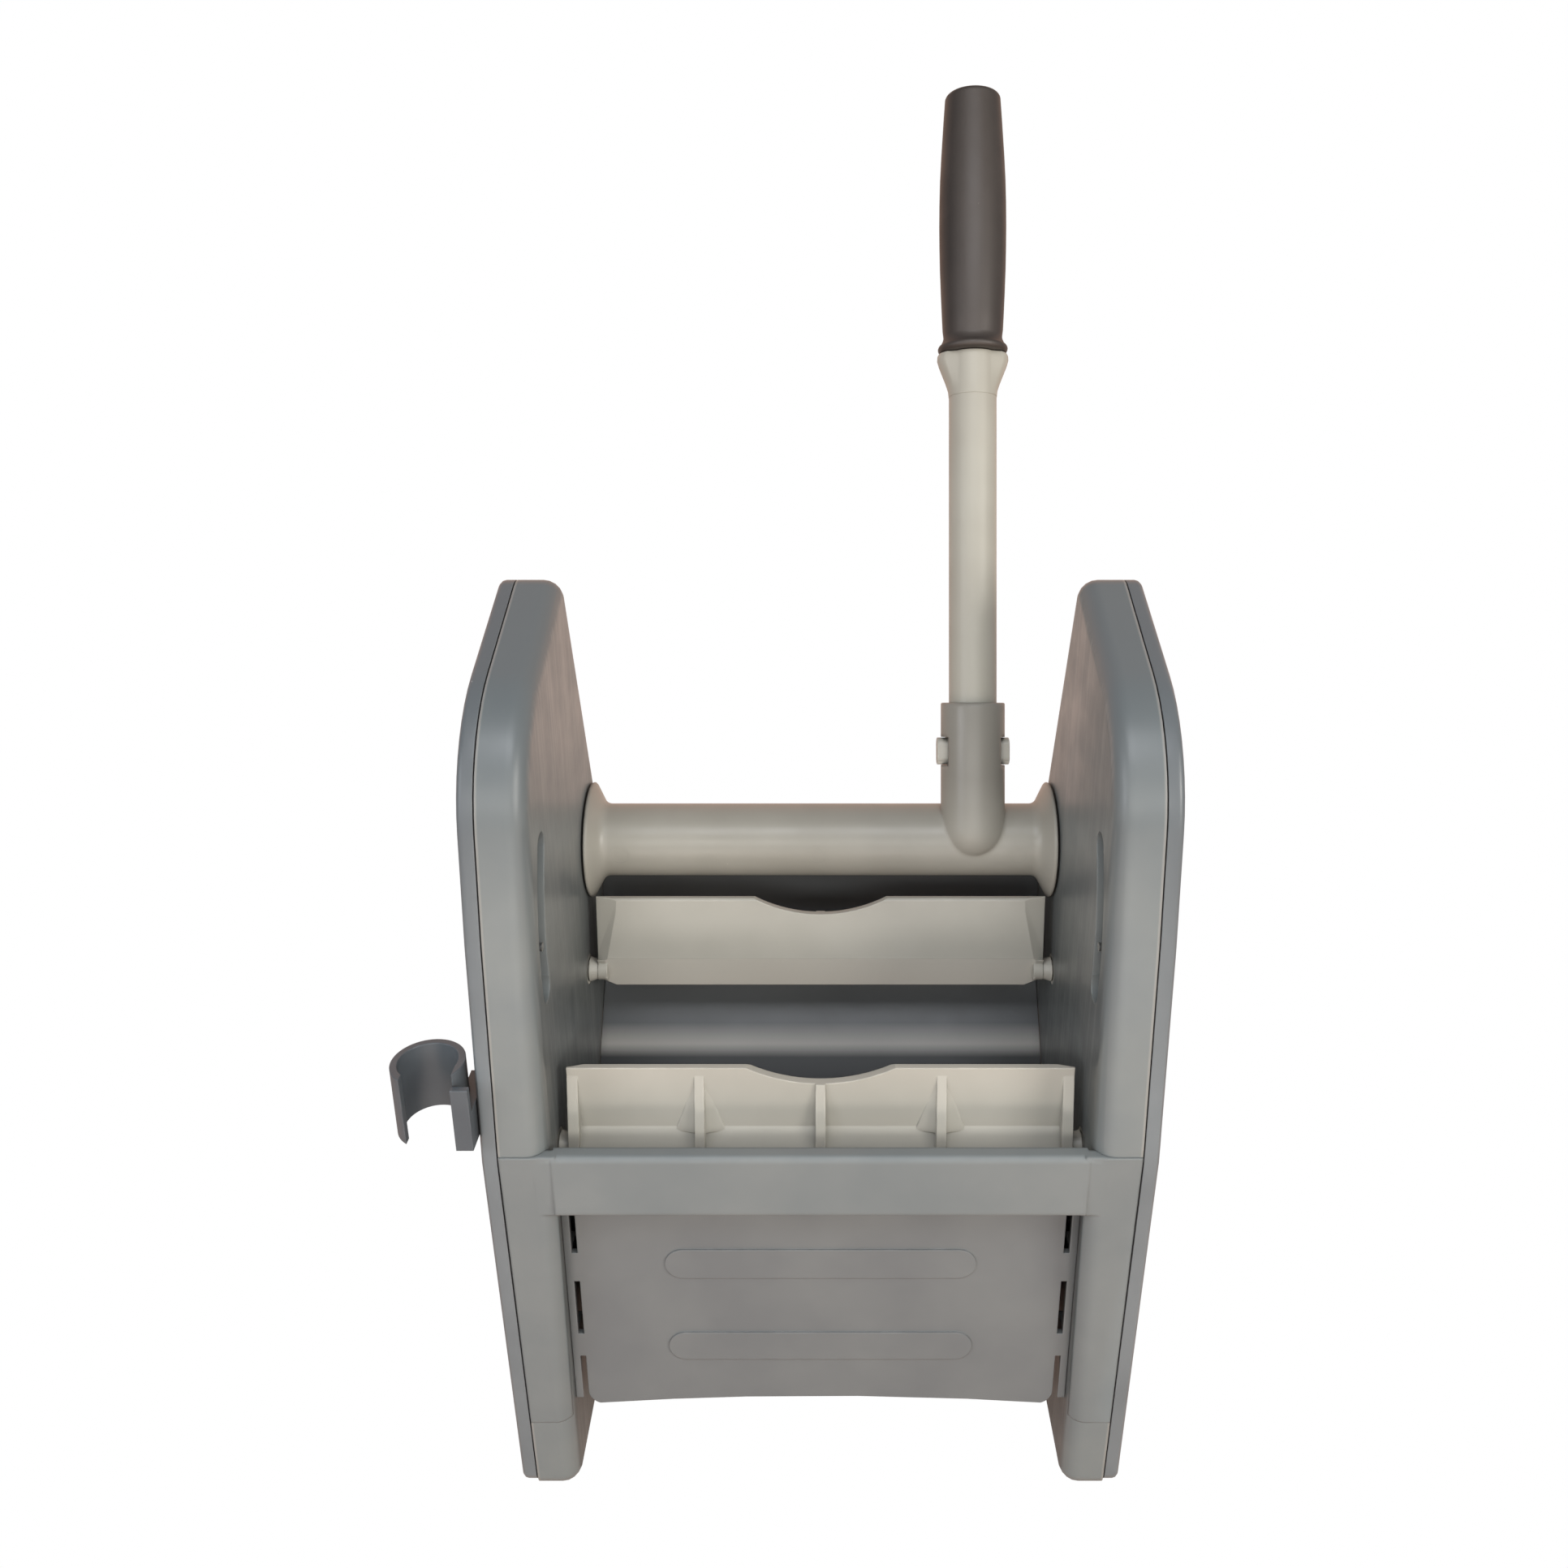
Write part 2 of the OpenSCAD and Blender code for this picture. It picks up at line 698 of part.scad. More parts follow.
// Side wall of the funnel, with a strip along the housing and the tabs that reach it
module chute_side_wall() {
    wall_corners = [
        [-chute_front + 1, chute_top - 2, 1],
        [-chute_front + 1, chute_bottom + 12, 1],
        [-60, chute_bottom + 6, 1],
        [back_corners[3][0] + 2, back_corners[3][1] + 1, 10],
        [wall_end[0], wall_end[1], 1]
    ];
    across(chute_half_w - chute_wall - 1, chute_half_w - 1) polygon(smooth(wall_corners));
    for (t = tab_places) translate([chute_half_w - chute_wall - 1, -chute_front, t[0] - t[1] / 2])
        cube([chute_side - chute_half_w + chute_wall + 1, chute_wall, t[1]]);
    translate([chute_half_w + side_slot, -chute_front, chute_bottom + strip_end])
        cube([chute_side - chute_half_w - side_slot, chute_wall, chute_top - chute_bottom - strip_end]);
    for (t = tab_places) translate([chute_side - chute_wall, -chute_front, t[0] - t[1] / 2])
        cube([chute_wall, 14, t[1]]);
    across(chute_side - chute_wall, chute_side)
        polygon(smooth([[22, -84, 1], [5, -103, 2], [8, -110, 3], [24, -108, 5]]));
}

// Flanged plastic bushes
module flanged_bush(d, at) {
    difference() {
        union() {
            bar_x(d + 2 * bush_wall, inner_x + 0.2, bearing_x, at);
            bar_x(d + 2 * bush_wall + 5, bearing_x, bearing_x + bush_flange_t, at);
        }
        bar_x(d + 2 * run_play, inner_x - 1, gear_x, at);
    }
}

module shaft_bush() {
    color("#D9D6CB") flanged_bush(journal_d, [0, 0]);
}

module jaw_bushes() {
    color("#D9D6CB") {
        flanged_bush(jaw_pin_d, rear_pivot);
        flanged_bush(jaw_pin_d, front_pivot);
    }
}

module idler_axle() {
    color("#B8BABC") bar_x(axle_d, inner_x + 1.5, half_w - wall, idler_at);
}

// Pan-headed screw along X with its head seated at x
module screw_x(x, len, at) {
    bar_x(screw_d, x - len, x, at);
    bar_x(head_d, x, x + head_h, at);
}

module cover_screws() {
    color("#A9ABAD") for (p = screw_places) screw_x(head_seat, 17, p);
}

module slot_pins() {
    color("#D8D8D4") for (s = [0, 1]) mirror([s, 0, 0])
        bar_x(slot_pin_d, slot_pin_tip, slot_floor + slot_rim / 2, slot_pin_place);
}

// Screws from inside each housing into the front frame
module frame_screws() {
    color("#A9ABAD") for (s = [-1, 1], z = frame_screw_z) {
        frame_screw(s * frame_screw_x, z, screw_d, frame_t + wall - screw_cover + 0.3);
        translate([0, frame_t + wall - screw_cover + 0.3, 0]) frame_screw(s * frame_screw_x, z, head_d, head_h);
    }
}

module chute_screws() {
    color("#A9ABAD") for (s = [0, 1]) mirror([s, 0, 0]) {
        for (z = tab_z) screw_x(bearing_x, bearing_wall + chute_wall, [tab_y, z]);
        screw_x(bearing_x, bearing_wall + chute_wall, rear_screw_at);
    }
}

// Snap clip on the left cover, open to the front, with a thin upright lug before a low foot for its screws
module mop_handle_clip() {
    block_x = -half_w - block_t;
    mouth_x = -clip_x - clip_open / 2;
    color("#6A7074") difference() {
        union() {
            translate([-clip_x, -clip_front, clip_low]) cylinder(r = clip_r, h = clip_h);
            translate([block_x, -block_front, lug_low]) cube([block_t, lug_t, lug_h]);
            translate([block_x, -block_front, lug_low]) cube([block_t, block_len, foot_h]);
        }
        translate([-clip_x, -clip_front, lug_low - 1]) cylinder(d = stick_d, h = clip_h + 5);
        translate([mouth_x, -clip_front - clip_r - 1, lug_low - 1])
            cube([block_x - mouth_x, clip_r + 1, clip_h + 5]);
        for (z = clip_screw_z) bar_x(screw_d, -half_w - 6, -half_w + 1, [clip_screw_y, z]);
    }
}

module clip_screws() {
    color("#A9ABAD") for (z = clip_screw_z) left() {
        bar_x(screw_d, cover_in - 2, half_w + 6, [clip_screw_y, z]);
        bar_x(head_d, cover_in - 2, cover_in, [clip_screw_y, z]);
    }
}

// Drive shaft with flared flanges, journals and the lever's socket
module drive_shaft() {
    color("#ABA89B") difference() {
        union() {
            bar_x(shaft_d, -flange_x + 1, flange_x - 1);
            for (s = [0, 1]) mirror([s, 0, 0]) {
                bar_x(flange_d, flange_x - flare_rim, flange_x);
                difference() {
                    bar_x(flange_d, flange_x - flange_len, flange_x - flare_rim + slice);
                    flare_cut();
                }
                bar_x(journal_d, flange_x - 1, gear_x);
                flat_bar_x(spigot_d, spigot_flat, gear_x - 1, gear_end);
            }
            lever_frame() {
                translate([0, 0, socket_base]) cylinder(d = socket_d, h = socket_top - socket_base);
                translate([0, 0, socket_base]) sphere(d = socket_d);
            }
        }
        for (s = [0, 1]) mirror([s, 0, 0])
            bar_x(pinion_screw_d, gear_end - pinion_screw_len - 8, gear_end + 1);
        bar_x(shaft_bore, -flange_x + 8, lever_x - socket_d / 2 - 4);
        bar_x(shaft_bore, lever_x + socket_d / 2 + 4, flange_x - 8);
        lever_frame() {
            translate([0, 0, tube_bottom]) cylinder(d = tube_d + 2 * fit_play, h = socket_top);
            for (s = [0, 1]) mirror([s, 0, 0]) {
                button_window(button_w + 2 * pass_gap, button_len + 2 * pass_gap);
                button_notch();
            }
        }
    }
}

// Ring that hollows a flange: a fillet at the bar, then a steep cone out to the rim
module flare_cut() {
    run = flange_len - flare_rim;
    translate([flange_x - flange_len, 0, 0]) rotate([0, 90, 0]) rotate_extrude()
        polygon(concat(
            [[flange_d / 2 + 1, -1], [shaft_d / 2 - slice, -1]],
            [for (k = [0:6]) let (a = flare_turn * k / 6)
                [shaft_d / 2 + flare_fillet * (1 - cos(a)), flare_fillet * sin(a)]],
            [[flange_d / 2, run], [flange_d / 2 + 1, run]]
        ));
}

// Flat cut into the side of the socket, through which a button is seen from the front
module button_notch() {
    translate([tube_d / 2 + notch_wall, -socket_d / 2, button_h - button_len / 2 - pass_gap])
        cube([socket_d / 2, socket_d, button_len + 2 * pass_gap]);
}

module button_window(width, len) {
    translate([tube_d / 2 - 4, 0, button_h]) rotate([0, 90, 0]) linear_extrude(socket_d) pill(width, len);
}

// Round-ended field, its length along x
module pill(width, len) {
    for (s = [-1, 1]) translate([s * (len - width) / 2, 0]) circle(d = width);
    square([len - width, width], center = true);
}

// Tube with a window on each side for the buttons
module lever_arm() {
    color("#C2BFB1") lever_frame() difference() {
        translate([0, 0, tube_bottom]) cylinder(d = tube_d, h = tube_top - tube_bottom);
        translate([0, 0, tube_bottom - 1]) cylinder(d = tube_d - 2 * tube_wall, h = tube_top + 2);
        for (s = [0, 1]) mirror([s, 0, 0]) button_window(button_w + 2 * pass_gap, button_len + 2 * pass_gap);
    }
}

// Collar that carries the grip on a wing to each side of the tube
module lever_collar() {
    foot = tube_d / 2 + collar_wall;
    wing = [
        [-foot, 0.5, 1], [foot, 0.5, 1], [collar_d / 2, collar_len - 6, 6],
        [collar_d / 2 - 0.6, collar_len, 1.5], [0.6 - collar_d / 2, collar_len, 1.5],
        [-collar_d / 2, collar_len - 6, 6]
    ];
    color("#C2BFB1") lever_frame() difference() {
        translate([0, 0, collar_z]) union() {
            cylinder(r = foot, h = collar_len);
            rotate([90, 0, 0]) linear_extrude(wing_t, center = true) polygon(smooth(wing));
        }
        translate([0, 0, collar_z - 1]) cylinder(d = tube_d, h = collar_len + 2);
    }
}

// Rubber grip turned from its own outline, closed by a flat end
module lever_grip() {
    groove_r = 15.2;
    belly_r = grip_d / 2;
    profile = [
        [tube_d / 2, 0], [bead_r - 1.5, 0], [bead_r, 1.5], [bead_r, 3], [bead_r - 1.5, 4.5],
        [groove_r, 7.5], [groove_r, 9], [groove_r + 0.4, 12], [belly_r - 0.7, 34], [belly_r, 62],
        [belly_r - 0.4, 88], [belly_r - 1.5, grip_len - 26], [belly_r - 2.4, grip_len - 12],
        [belly_r - 3, grip_len - 2.4], [belly_r - 3.4, grip_len - 1.2], [belly_r - 4.4, grip_len - 0.3],
        [belly_r - 6, grip_len], [0, grip_len],
        [0, grip_len - grip_cap + pass_gap], [tube_d / 2, grip_len - grip_cap + pass_gap]
    ];
    color("#453F3B") lever_frame() translate([0, 0, grip_z]) rotate_extrude() polygon(profile);
}

// Pinion on the shaft's flats
module pinion() {
    color("#B9B7AC") difference() {
        across(gear_x, gear_end) gear_outline(pinion_z, pinion_tooth);
        flat_bar_x(spigot_d + 2 * fit_play, spigot_flat + 2 * fit_play, gear_x - 1, gear_end + 1);
    }
}

module gear_outline(z, tooth_at) {
    circle(r = pitch_r(z) - gear_m);
    for (i = [0:z - 1]) polygon(tooth(z, tooth_at + i * 360 / z));
}

module pinion_screws() {
    color("#A9ABAD") for (s = [0, 1]) mirror([s, 0, 0]) {
        bar_x(pinion_screw_d, gear_end - pinion_screw_len, gear_end);
        bar_x(spigot_d + 4, gear_end, gear_end + 3);
    }
}

module idler() {
    color("#B9B7AC") difference() {
        across(gear_x, gear_end) translate(idler_at) gear_outline(idler_z, idler_tooth);
        bar_x(axle_d + 2 * run_play, gear_x - 1, gear_end + 1, idler_at);
    }
}

// Fan between two angles, out to the roots of its teeth, with the teeth that fall inside it
module toothed_arc(z, tooth_at, from, to) {
    root = pitch_r(z) - gear_m;
    step = 360 / z;
    first = ceil((from - tooth_at) / step);
    last = floor((to - tooth_at) / step);
    a0 = arc_edge(z, tooth_at, from);
    turn = (last - first + 1) * step + 2 * edge_spare;
    polygon(concat([[0, 0]], [for (k = [0:20]) root * [cos(a0 + turn * k / 20), sin(a0 + turn * k / 20)]]));
    for (i = [first:last]) polygon(tooth(z, tooth_at + i * step));
}

module sector_hub(pivot, lean) {
    difference() {
        union() {
            bar_x(2 * hub_r, gear_x - pass_gap, gear_end, pivot);
            across(gear_x, gear_end) translate(pivot) children();
        }
        translate([0, pivot[0], pivot[1]]) rotate([-lean, 0, 0])
            flat_bar_x(jaw_pin_d + 2 * fit_play, jaw_flat + 2 * fit_play, gear_x - 1, gear_end + 1);
    }
}

jaw_flat = jaw_pin_d - 2;

// Rear sector: driven arc above, joining arc in front
module rear_sector() {
    color("#B9B7AC") sector_hub(rear_pivot, rear_lean) {
        toothed_arc(drive_z, drive_tooth, drive_mid - jaw_swing - arc_spare, drive_mid + arc_spare);
        toothed_arc(sync_z, rear_sync_tooth, sync_dir - jaw_swing - arc_spare, sync_dir + arc_spare);
    }
}

module front_sector() {
    color("#B9B7AC") sector_hub(front_pivot, 0)
        toothed_arc(sync_z, front_sync_tooth, pivot_fall - arc_spare, pivot_fall + jaw_swing + arc_spare);
}

module jaw_screws(pivot) {
    color("#A9ABAD") for (s = [0, 1]) mirror([s, 0, 0]) {
        bar_x(jaw_screw_d, gear_end - jaw_screw_len, gear_end, pivot);
        bar_x(jaw_pin_d + 4, gear_end, gear_end + 2.6, pivot);
    }
}

// Jaw moulding around its pivot, pressing face towards +Y
module jaw_plate() {
    section = [
        bend_at, [face_gap, jaw_h - 1], [face_gap - 1, jaw_h], [face_gap - jaw_t, jaw_h],
        bend_back, back_of(tip_at), tip_at
    ];
    rib = [[face_gap - jaw_t + 0.5, rib_top], bend_back + [0.5, 0], back_of(tip_at) + [0.4, 0]];
    notch_r = (notch_half ^ 2 + notch_depth ^ 2) / (2 * notch_depth);
    difference() {
        union() {
            across(-jaw_half_w, jaw_half_w) polygon(section);
            for (x = [-rib_pitch, 0, rib_pitch]) across(x - rib_t / 2, x + rib_t / 2) polygon(rib);
            for (s = [0, 1]) mirror([s, 0, 0]) {
                across(jaw_half_w - end_t, jaw_half_w) polygon(rib);
                rib_pad();
                bar_x(2 * face_gap, jaw_half_w - end_t, jaw_half_w);
                cone_x(jaw_pin_d, 2 * collar_r, jaw_half_w, inner_x - 0.5);
                bar_x(jaw_pin_d, jaw_half_w, gear_x - pass_gap);
                flat_bar_x(jaw_pin_d, jaw_flat, gear_x - 1, gear_end);
            }
        }
        translate([0, -20, jaw_h + notch_r - notch_depth]) rotate([-90, 0, 0]) cylinder(r = notch_r, h = 50, $fn = 128);
        for (s = [0, 1]) mirror([s, 0, 0]) {
            side_bevel();
            lip_corner();
            bar_x(jaw_screw_d, gear_end - jaw_screw_len - 1, gear_end + 1);
        }
    }
}

// Pad that spreads an outer rib over the plate, widest at the bend and gone at the rib's top
module rib_pad() {
    translate([rib_pitch, face_gap - jaw_t + 0.5, pad_low]) linear_extrude(rib_top - pad_low, scale = 0.01)
        polygon([
            [-pad_w / 2, 0], [-pad_w / 2, -pad_edge], [0, -pad_reach], [pad_w / 2, -pad_edge], [pad_w / 2, 0]
        ]);
}

// Corner cut off the flange's tip
module lip_corner() {
    translate([jaw_half_w, 30, tip_at[1]]) rotate([90, 0, 0]) linear_extrude(60)
        polygon([[0, lip_cut[1]], [-lip_cut[0], 0], [-lip_cut[0], -1], [1, -1], [1, lip_cut[1]]]);
}

// Wedge that bevels a side edge of the pressing face, wider at the top
module side_bevel() {
    depth = jaw_t - 1;
    hull() {
        for (e = [[jaw_h + 1, bevel_top], [bend_at[1] - 1, bevel_bottom]])
            translate([jaw_half_w, face_gap, e[0]]) linear_extrude(slice)
                polygon([[1, -depth - 0.3], [1, 1], [-e[1] - 3, 1], [-e[1], 0]]);
    }
}

module rear_jaw_plate() {
    color("#A9A699") translate([0, rear_pivot[0], rear_pivot[1]])
        rotate([-rear_lean, 0, 0]) mirror([0, 1, 0]) jaw_plate();
}

module front_jaw_plate() {
    color("#B3B1A4") translate([0, front_pivot[0], front_pivot[1]]) jaw_plate();
}

// Release button: a pill on a longer base that holds it in the tube, in the lever's frame
module button() {
    translate([button_base, 0, button_h]) rotate([0, 90, 0]) {
        linear_extrude(button_base_t) pill(button_w + 0.4, button_len + 4);
        linear_extrude(socket_d / 2 + button_proud - button_base) pill(button_w, button_len);
    }
}

module right_button() {
    color("#B5B2A5") lever_frame() button();
}

module left_button() {
    color("#B5B2A5") lever_frame() mirror([1, 0, 0]) button();
}

// Bent strip that holds both buttons out
module button_spring() {
    strip_t = 0.8;
    strip_w = 6;
    strip_from = button_h - 20;
    strip_to = button_h + button_len / 2;
    color("#C8CACC") lever_frame() difference() {
        translate([-button_base, -strip_w / 2, strip_from]) cube([2 * button_base, strip_w, strip_to - strip_from]);
        translate([strip_t - button_base, -strip_w, strip_from + strip_t])
            cube([2 * (button_base - strip_t), 2 * strip_w, strip_to]);
    }
}

placed() left() color("#8B8F8F") side_housing();  // left_side_housing
placed() color("#8B8F8F") side_housing();  // right_side_housing
placed() left() color("#888D90") outer_cover();  // left_outer_cover
placed() color("#888D90") outer_cover();  // right_outer_cover
placed() front_frame();
placed() water_chute();
placed() left() shaft_bush();  // left_shaft_bush
placed() shaft_bush();  // right_shaft_bush
placed() left() jaw_bushes();  // left_jaw_bushes
placed() jaw_bushes();  // right_jaw_bushes
placed() left() idler_axle();  // left_idler_axle
placed() idler_axle();  // right_idler_axle
placed() left() cover_screws();  // left_cover_screws
placed() cover_screws();  // right_cover_screws
placed() slot_pins();
placed() frame_screws();
placed() chute_screws();
placed() mop_handle_clip();
placed() clip_screws();
placed() drive_shaft();
placed() lever_arm();
placed() lever_collar();
placed() lever_grip();
placed() left() pinion();  // left_pinion
placed() pinion();  // right_pinion
placed() pinion_screws();
placed() button_spring();
placed() left_button();
placed() right_button();
placed() rear_jaw_plate();
placed() left() rear_sector();  // rear_left_sector
placed() rear_sector();  // rear_right_sector
placed() jaw_screws(rear_pivot);  // rear_jaw_screws
placed() front_jaw_plate();
placed() left() front_sector();  // front_left_sector
placed() front_sector();  // front_right_sector
placed() jaw_screws(front_pivot);  // front_jaw_screws
placed() left() idler();  // left_idler
placed() idler();  // right_idler
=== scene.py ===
# %% [markdown]
# # A double-jaw mop press
# A lever turns a cross shaft, and gears inside the two side panels swing two jaws towards each other. The
# water runs down a chute behind the front panel. Nearly all of it is moulded plastic, so the looks live in
# rounded edges, in soft satin highlights and in the small marks that moulding and use leave behind. The
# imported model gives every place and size, and each piece made here rides on one of its bodies.

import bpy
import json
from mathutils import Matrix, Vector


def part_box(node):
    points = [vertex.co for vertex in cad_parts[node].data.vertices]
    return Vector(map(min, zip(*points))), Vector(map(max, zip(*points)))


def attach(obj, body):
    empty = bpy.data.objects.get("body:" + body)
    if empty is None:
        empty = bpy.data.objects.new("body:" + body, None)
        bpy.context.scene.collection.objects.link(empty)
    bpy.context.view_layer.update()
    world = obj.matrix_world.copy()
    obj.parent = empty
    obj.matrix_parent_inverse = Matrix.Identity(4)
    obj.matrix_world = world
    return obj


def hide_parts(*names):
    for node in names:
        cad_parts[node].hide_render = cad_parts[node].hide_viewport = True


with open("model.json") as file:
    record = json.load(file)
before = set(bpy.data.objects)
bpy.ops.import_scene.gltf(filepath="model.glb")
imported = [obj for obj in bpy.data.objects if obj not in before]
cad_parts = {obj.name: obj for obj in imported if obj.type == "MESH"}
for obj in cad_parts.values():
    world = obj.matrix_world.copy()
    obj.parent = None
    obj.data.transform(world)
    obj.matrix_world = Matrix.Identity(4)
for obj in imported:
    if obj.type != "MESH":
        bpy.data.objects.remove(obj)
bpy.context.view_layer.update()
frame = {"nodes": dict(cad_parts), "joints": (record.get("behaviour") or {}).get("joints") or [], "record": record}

# %% Blender's own modules
import json
import math

import bpy
from mathutils import Vector

print("Blender", bpy.app.version_string)

# %% [markdown]
# ## Where things are
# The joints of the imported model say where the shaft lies. Pieces are modelled in millimetres around it,
# because that is how a mould drawing gives its sizes, and are set down in metres at the end.

# %% Axes and planes of the press
MM = 0.001
joints = {joint["name"]: joint for joint in frame["joints"]}
shaft = Vector(joints["lever_swing"]["pos_m"])


def planes(node):
    """Lowest and highest corner of a CAD node in millimetres from the middle of the shaft."""
    low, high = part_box(node)
    return (low - shaft) / MM, (high - shaft) / MM


inner_x = planes("right_side_housing")[0].x
seam_x = planes("right_side_housing")[1].x
half_w = planes("right_outer_cover")[1].x
floor_z = planes("right_side_housing")[0].z
print("panels from", round(inner_x, 2), "to", round(half_w, 2), "mm, floor at", round(floor_z, 2))

# %% [markdown]
# ## The camera
# The photograph looks down on the press from the front, from close by, so the panels seem to spread towards
# the top. A lens of 29 mm at 0.7 m, tilted down by 20 degrees, gives the same spread. The small shift
# frames the press as the photograph does, a little to the right of the middle.

# %% Camera
image_side = 1932
focal_pixels = 1575
sensor_mm = 36
look_down = 20
camera_from_shaft = Vector((0, -606.2, 304.4))
centre_column, centre_row = 1011, 850

lens = bpy.data.cameras.new("photo_lens")
lens.sensor_fit = "HORIZONTAL"
lens.sensor_width = sensor_mm
lens.lens = focal_pixels / image_side * sensor_mm
lens.shift_x = (image_side / 2 - centre_column) / image_side
lens.shift_y = (centre_row - image_side / 2) / image_side
lens.clip_start = 0.01
camera = bpy.data.objects.new("camera", lens)
camera.location = shaft + camera_from_shaft * MM
camera.rotation_euler = (math.radians(90 - look_down), 0, 0)
bpy.context.scene.collection.objects.link(camera)
bpy.context.scene.camera = camera
print("lens", round(lens.lens, 2), "mm, camera at", [round(v, 3) for v in camera.location])

# %% [markdown]
# ## Colours and nodes
# Colours are written as they look on a screen and turned to linear light by one function. Another small
# function adds a node to a material with its settings and its links, which keeps each finish readable as a
# short list.


# %% Colour and node helpers
def linear(code):
    """Linear colour from an sRGB hex value."""
    parts = [int(code[i:i + 2], 16) / 255 for i in (0, 2, 4)]
    return tuple(c / 12.92 if c <= 0.04045 else ((c + 0.055) / 1.055) ** 2.4 for c in parts) + (1.0,)


def node(material, kind, inputs=(), **settings):
    """Adds a node: settings are its own properties, inputs are (socket, value or another node's output)."""
    made = material.node_tree.nodes.new("ShaderNode" + kind)
    for name, value in settings.items():
        setattr(made, name, value)
    for socket, value in inputs:
        if isinstance(value, bpy.types.NodeSocket):
            material.node_tree.links.new(value, made.inputs[socket])
        else:
            made.inputs[socket].default_value = value
    return made


def between(material, value, low, high, to_low=0.0, to_high=1.0):
    """Spreads the part of a value between low and high over a new range."""
    made = node(material, "MapRange", [(0, value), (1, low), (2, high), (3, to_low), (4, to_high)])
    return made.outputs[0]


def times(material, a, b):
    """The product of two values."""
    return node(material, "Math", [(0, a), (1, b)], operation="MULTIPLY").outputs[0]


def minus(material, a, b):
    """The difference of two values."""
    return node(material, "Math", [(0, a), (1, b)], operation="SUBTRACT").outputs[0]


def magnitude(material, value):
    """A value without its sign."""
    return node(material, "Math", [(0, value)], operation="ABSOLUTE").outputs[0]


def tint(material, share, a, b):
    """Mixes two colours, each an output or a hex value, by a share."""
    a, b = [linear(c) if isinstance(c, str) else c for c in (a, b)]
    made = node(material, "Mix", [(0, share), (6, a), (7, b)], data_type="RGBA")
    return made.outputs[2]


def fresh_material(name):
    """A material whose node tree is still empty."""
    material = bpy.data.materials.new(name)
    material.use_nodes = True
    material.node_tree.nodes.clear()
    return material


print("mid grey in linear light:", [round(v, 3) for v in linear("808080")])

# %% [markdown]
# ## The studio
# The photograph is cut out on pure white, yet the press still mirrors the room it stood in. Its main light
# comes from the right and the front: the right panel shades the socket and the end of the rear jaw, while
# the tube above stands clear of it and is pale. A sunlit warm floor behind glows in the panels' inner
# faces, which are seen so slantingly that they mirror it. A low bright bench in front draws the long
# highlights along the shaft and the shoulders of the panels. The floor and the world are plain white to the
# camera alone.

# %% World
world = bpy.data.worlds.new("studio")
bpy.context.scene.world = world
world.use_nodes = True
world.node_tree.nodes.clear()
rays = node(world, "LightPath")
seen = node(world, "Math", [(0, rays.outputs["Is Camera Ray"]), (1, rays.outputs["Is Transmission Ray"])],
            operation="MAXIMUM")
towards = node(world, "SeparateXYZ", [(0, node(world, "TexCoord").outputs["Generated"])])
behind = between(world, towards.outputs["Y"], 0.1, 0.7)
room = tint(world, behind, "DCE3EA", "D9B5A2")
height = between(world, towards.outputs["Z"], 0.2, 0.85, 0.42, 0.22)
warm_wall = node(world, "Math", [(0, behind), (1, 0.9), (2, height)], operation="MULTIPLY_ADD")
around = node(world, "Background", [("Color", room), ("Strength", warm_wall.outputs[0])])
white = node(world, "Background", [("Color", linear("FFFFFF")), ("Strength", 1.0)])
sky = node(world, "MixShader", [(0, seen.outputs[0]), (1, around.outputs[0]), (2, white.outputs[0])])
node(world, "OutputWorld", [("Surface", sky.outputs[0])])
print("a cool room with a warm wall behind, white to the camera")

# %% Floor
floor_size = 6
bpy.ops.object.select_all(action="DESELECT")
bpy.ops.mesh.primitive_plane_add(size=floor_size, location=(0, 0, 0))
floor = bpy.context.object
floor.name = "floor"
floor_paint = fresh_material("matt_warm_floor_paint")
floor_rays = node(floor_paint, "LightPath")
floor_matt = node(floor_paint, "BsdfDiffuse", [("Color", linear("B7A59B"))])
floor_place = node(floor_paint, "TexCoord").outputs["Object"]
floor_y = node(floor_paint, "SeparateXYZ", [(0, floor_place)]).outputs["Y"]
# The sun falls on the floor from 0.5 m behind the press, and a little of it in front.
sunlit = between(floor_paint, floor_y, 0.5, 0.95, 0.05, 1.25)
nearer = between(floor_paint, floor_y, -0.3, 0.1, 0.3, 0.0)
glow = node(floor_paint, "Math", [(0, sunlit), (1, nearer)], operation="ADD").outputs[0]
floor_glow = node(floor_paint, "Emission", [("Color", linear("CDB3A4")), ("Strength", glow)])
floor_lit = node(floor_paint, "AddShader", [(0, floor_matt.outputs[0]), (1, floor_glow.outputs[0])])
floor_white = node(floor_paint, "Emission", [("Color", linear("FFFFFF")), ("Strength", 1.0)])
floor_mix = node(floor_paint, "MixShader", [(0, floor_rays.outputs["Is Camera Ray"]),
                                            (1, floor_lit.outputs[0]), (2, floor_white.outputs[0])])
node(floor_paint, "OutputMaterial", [("Surface", floor_mix.outputs[0])])
floor.data.materials.append(floor_paint)
print("floor", floor_size, "m wide at the feet of the press")


# %% Lamps
def lamp(name, place, aim, size, watts, colour):
    """A soft square lamp at a place, aimed at a point, both in millimetres from the shaft."""
    light = bpy.data.lights.new(name, "AREA")
    light.shape = "RECTANGLE"
    light.size, light.size_y = size[0] * MM, size[1] * MM
    light.energy = watts
    light.color = linear(colour)[:3]
    made = bpy.data.objects.new(name, light)
    made.location = shaft + Vector(place) * MM
    away = Vector(aim) - Vector(place)
    made.rotation_euler = away.to_track_quat("-Z", "Y").to_euler()
    bpy.context.scene.collection.objects.link(made)
    return made


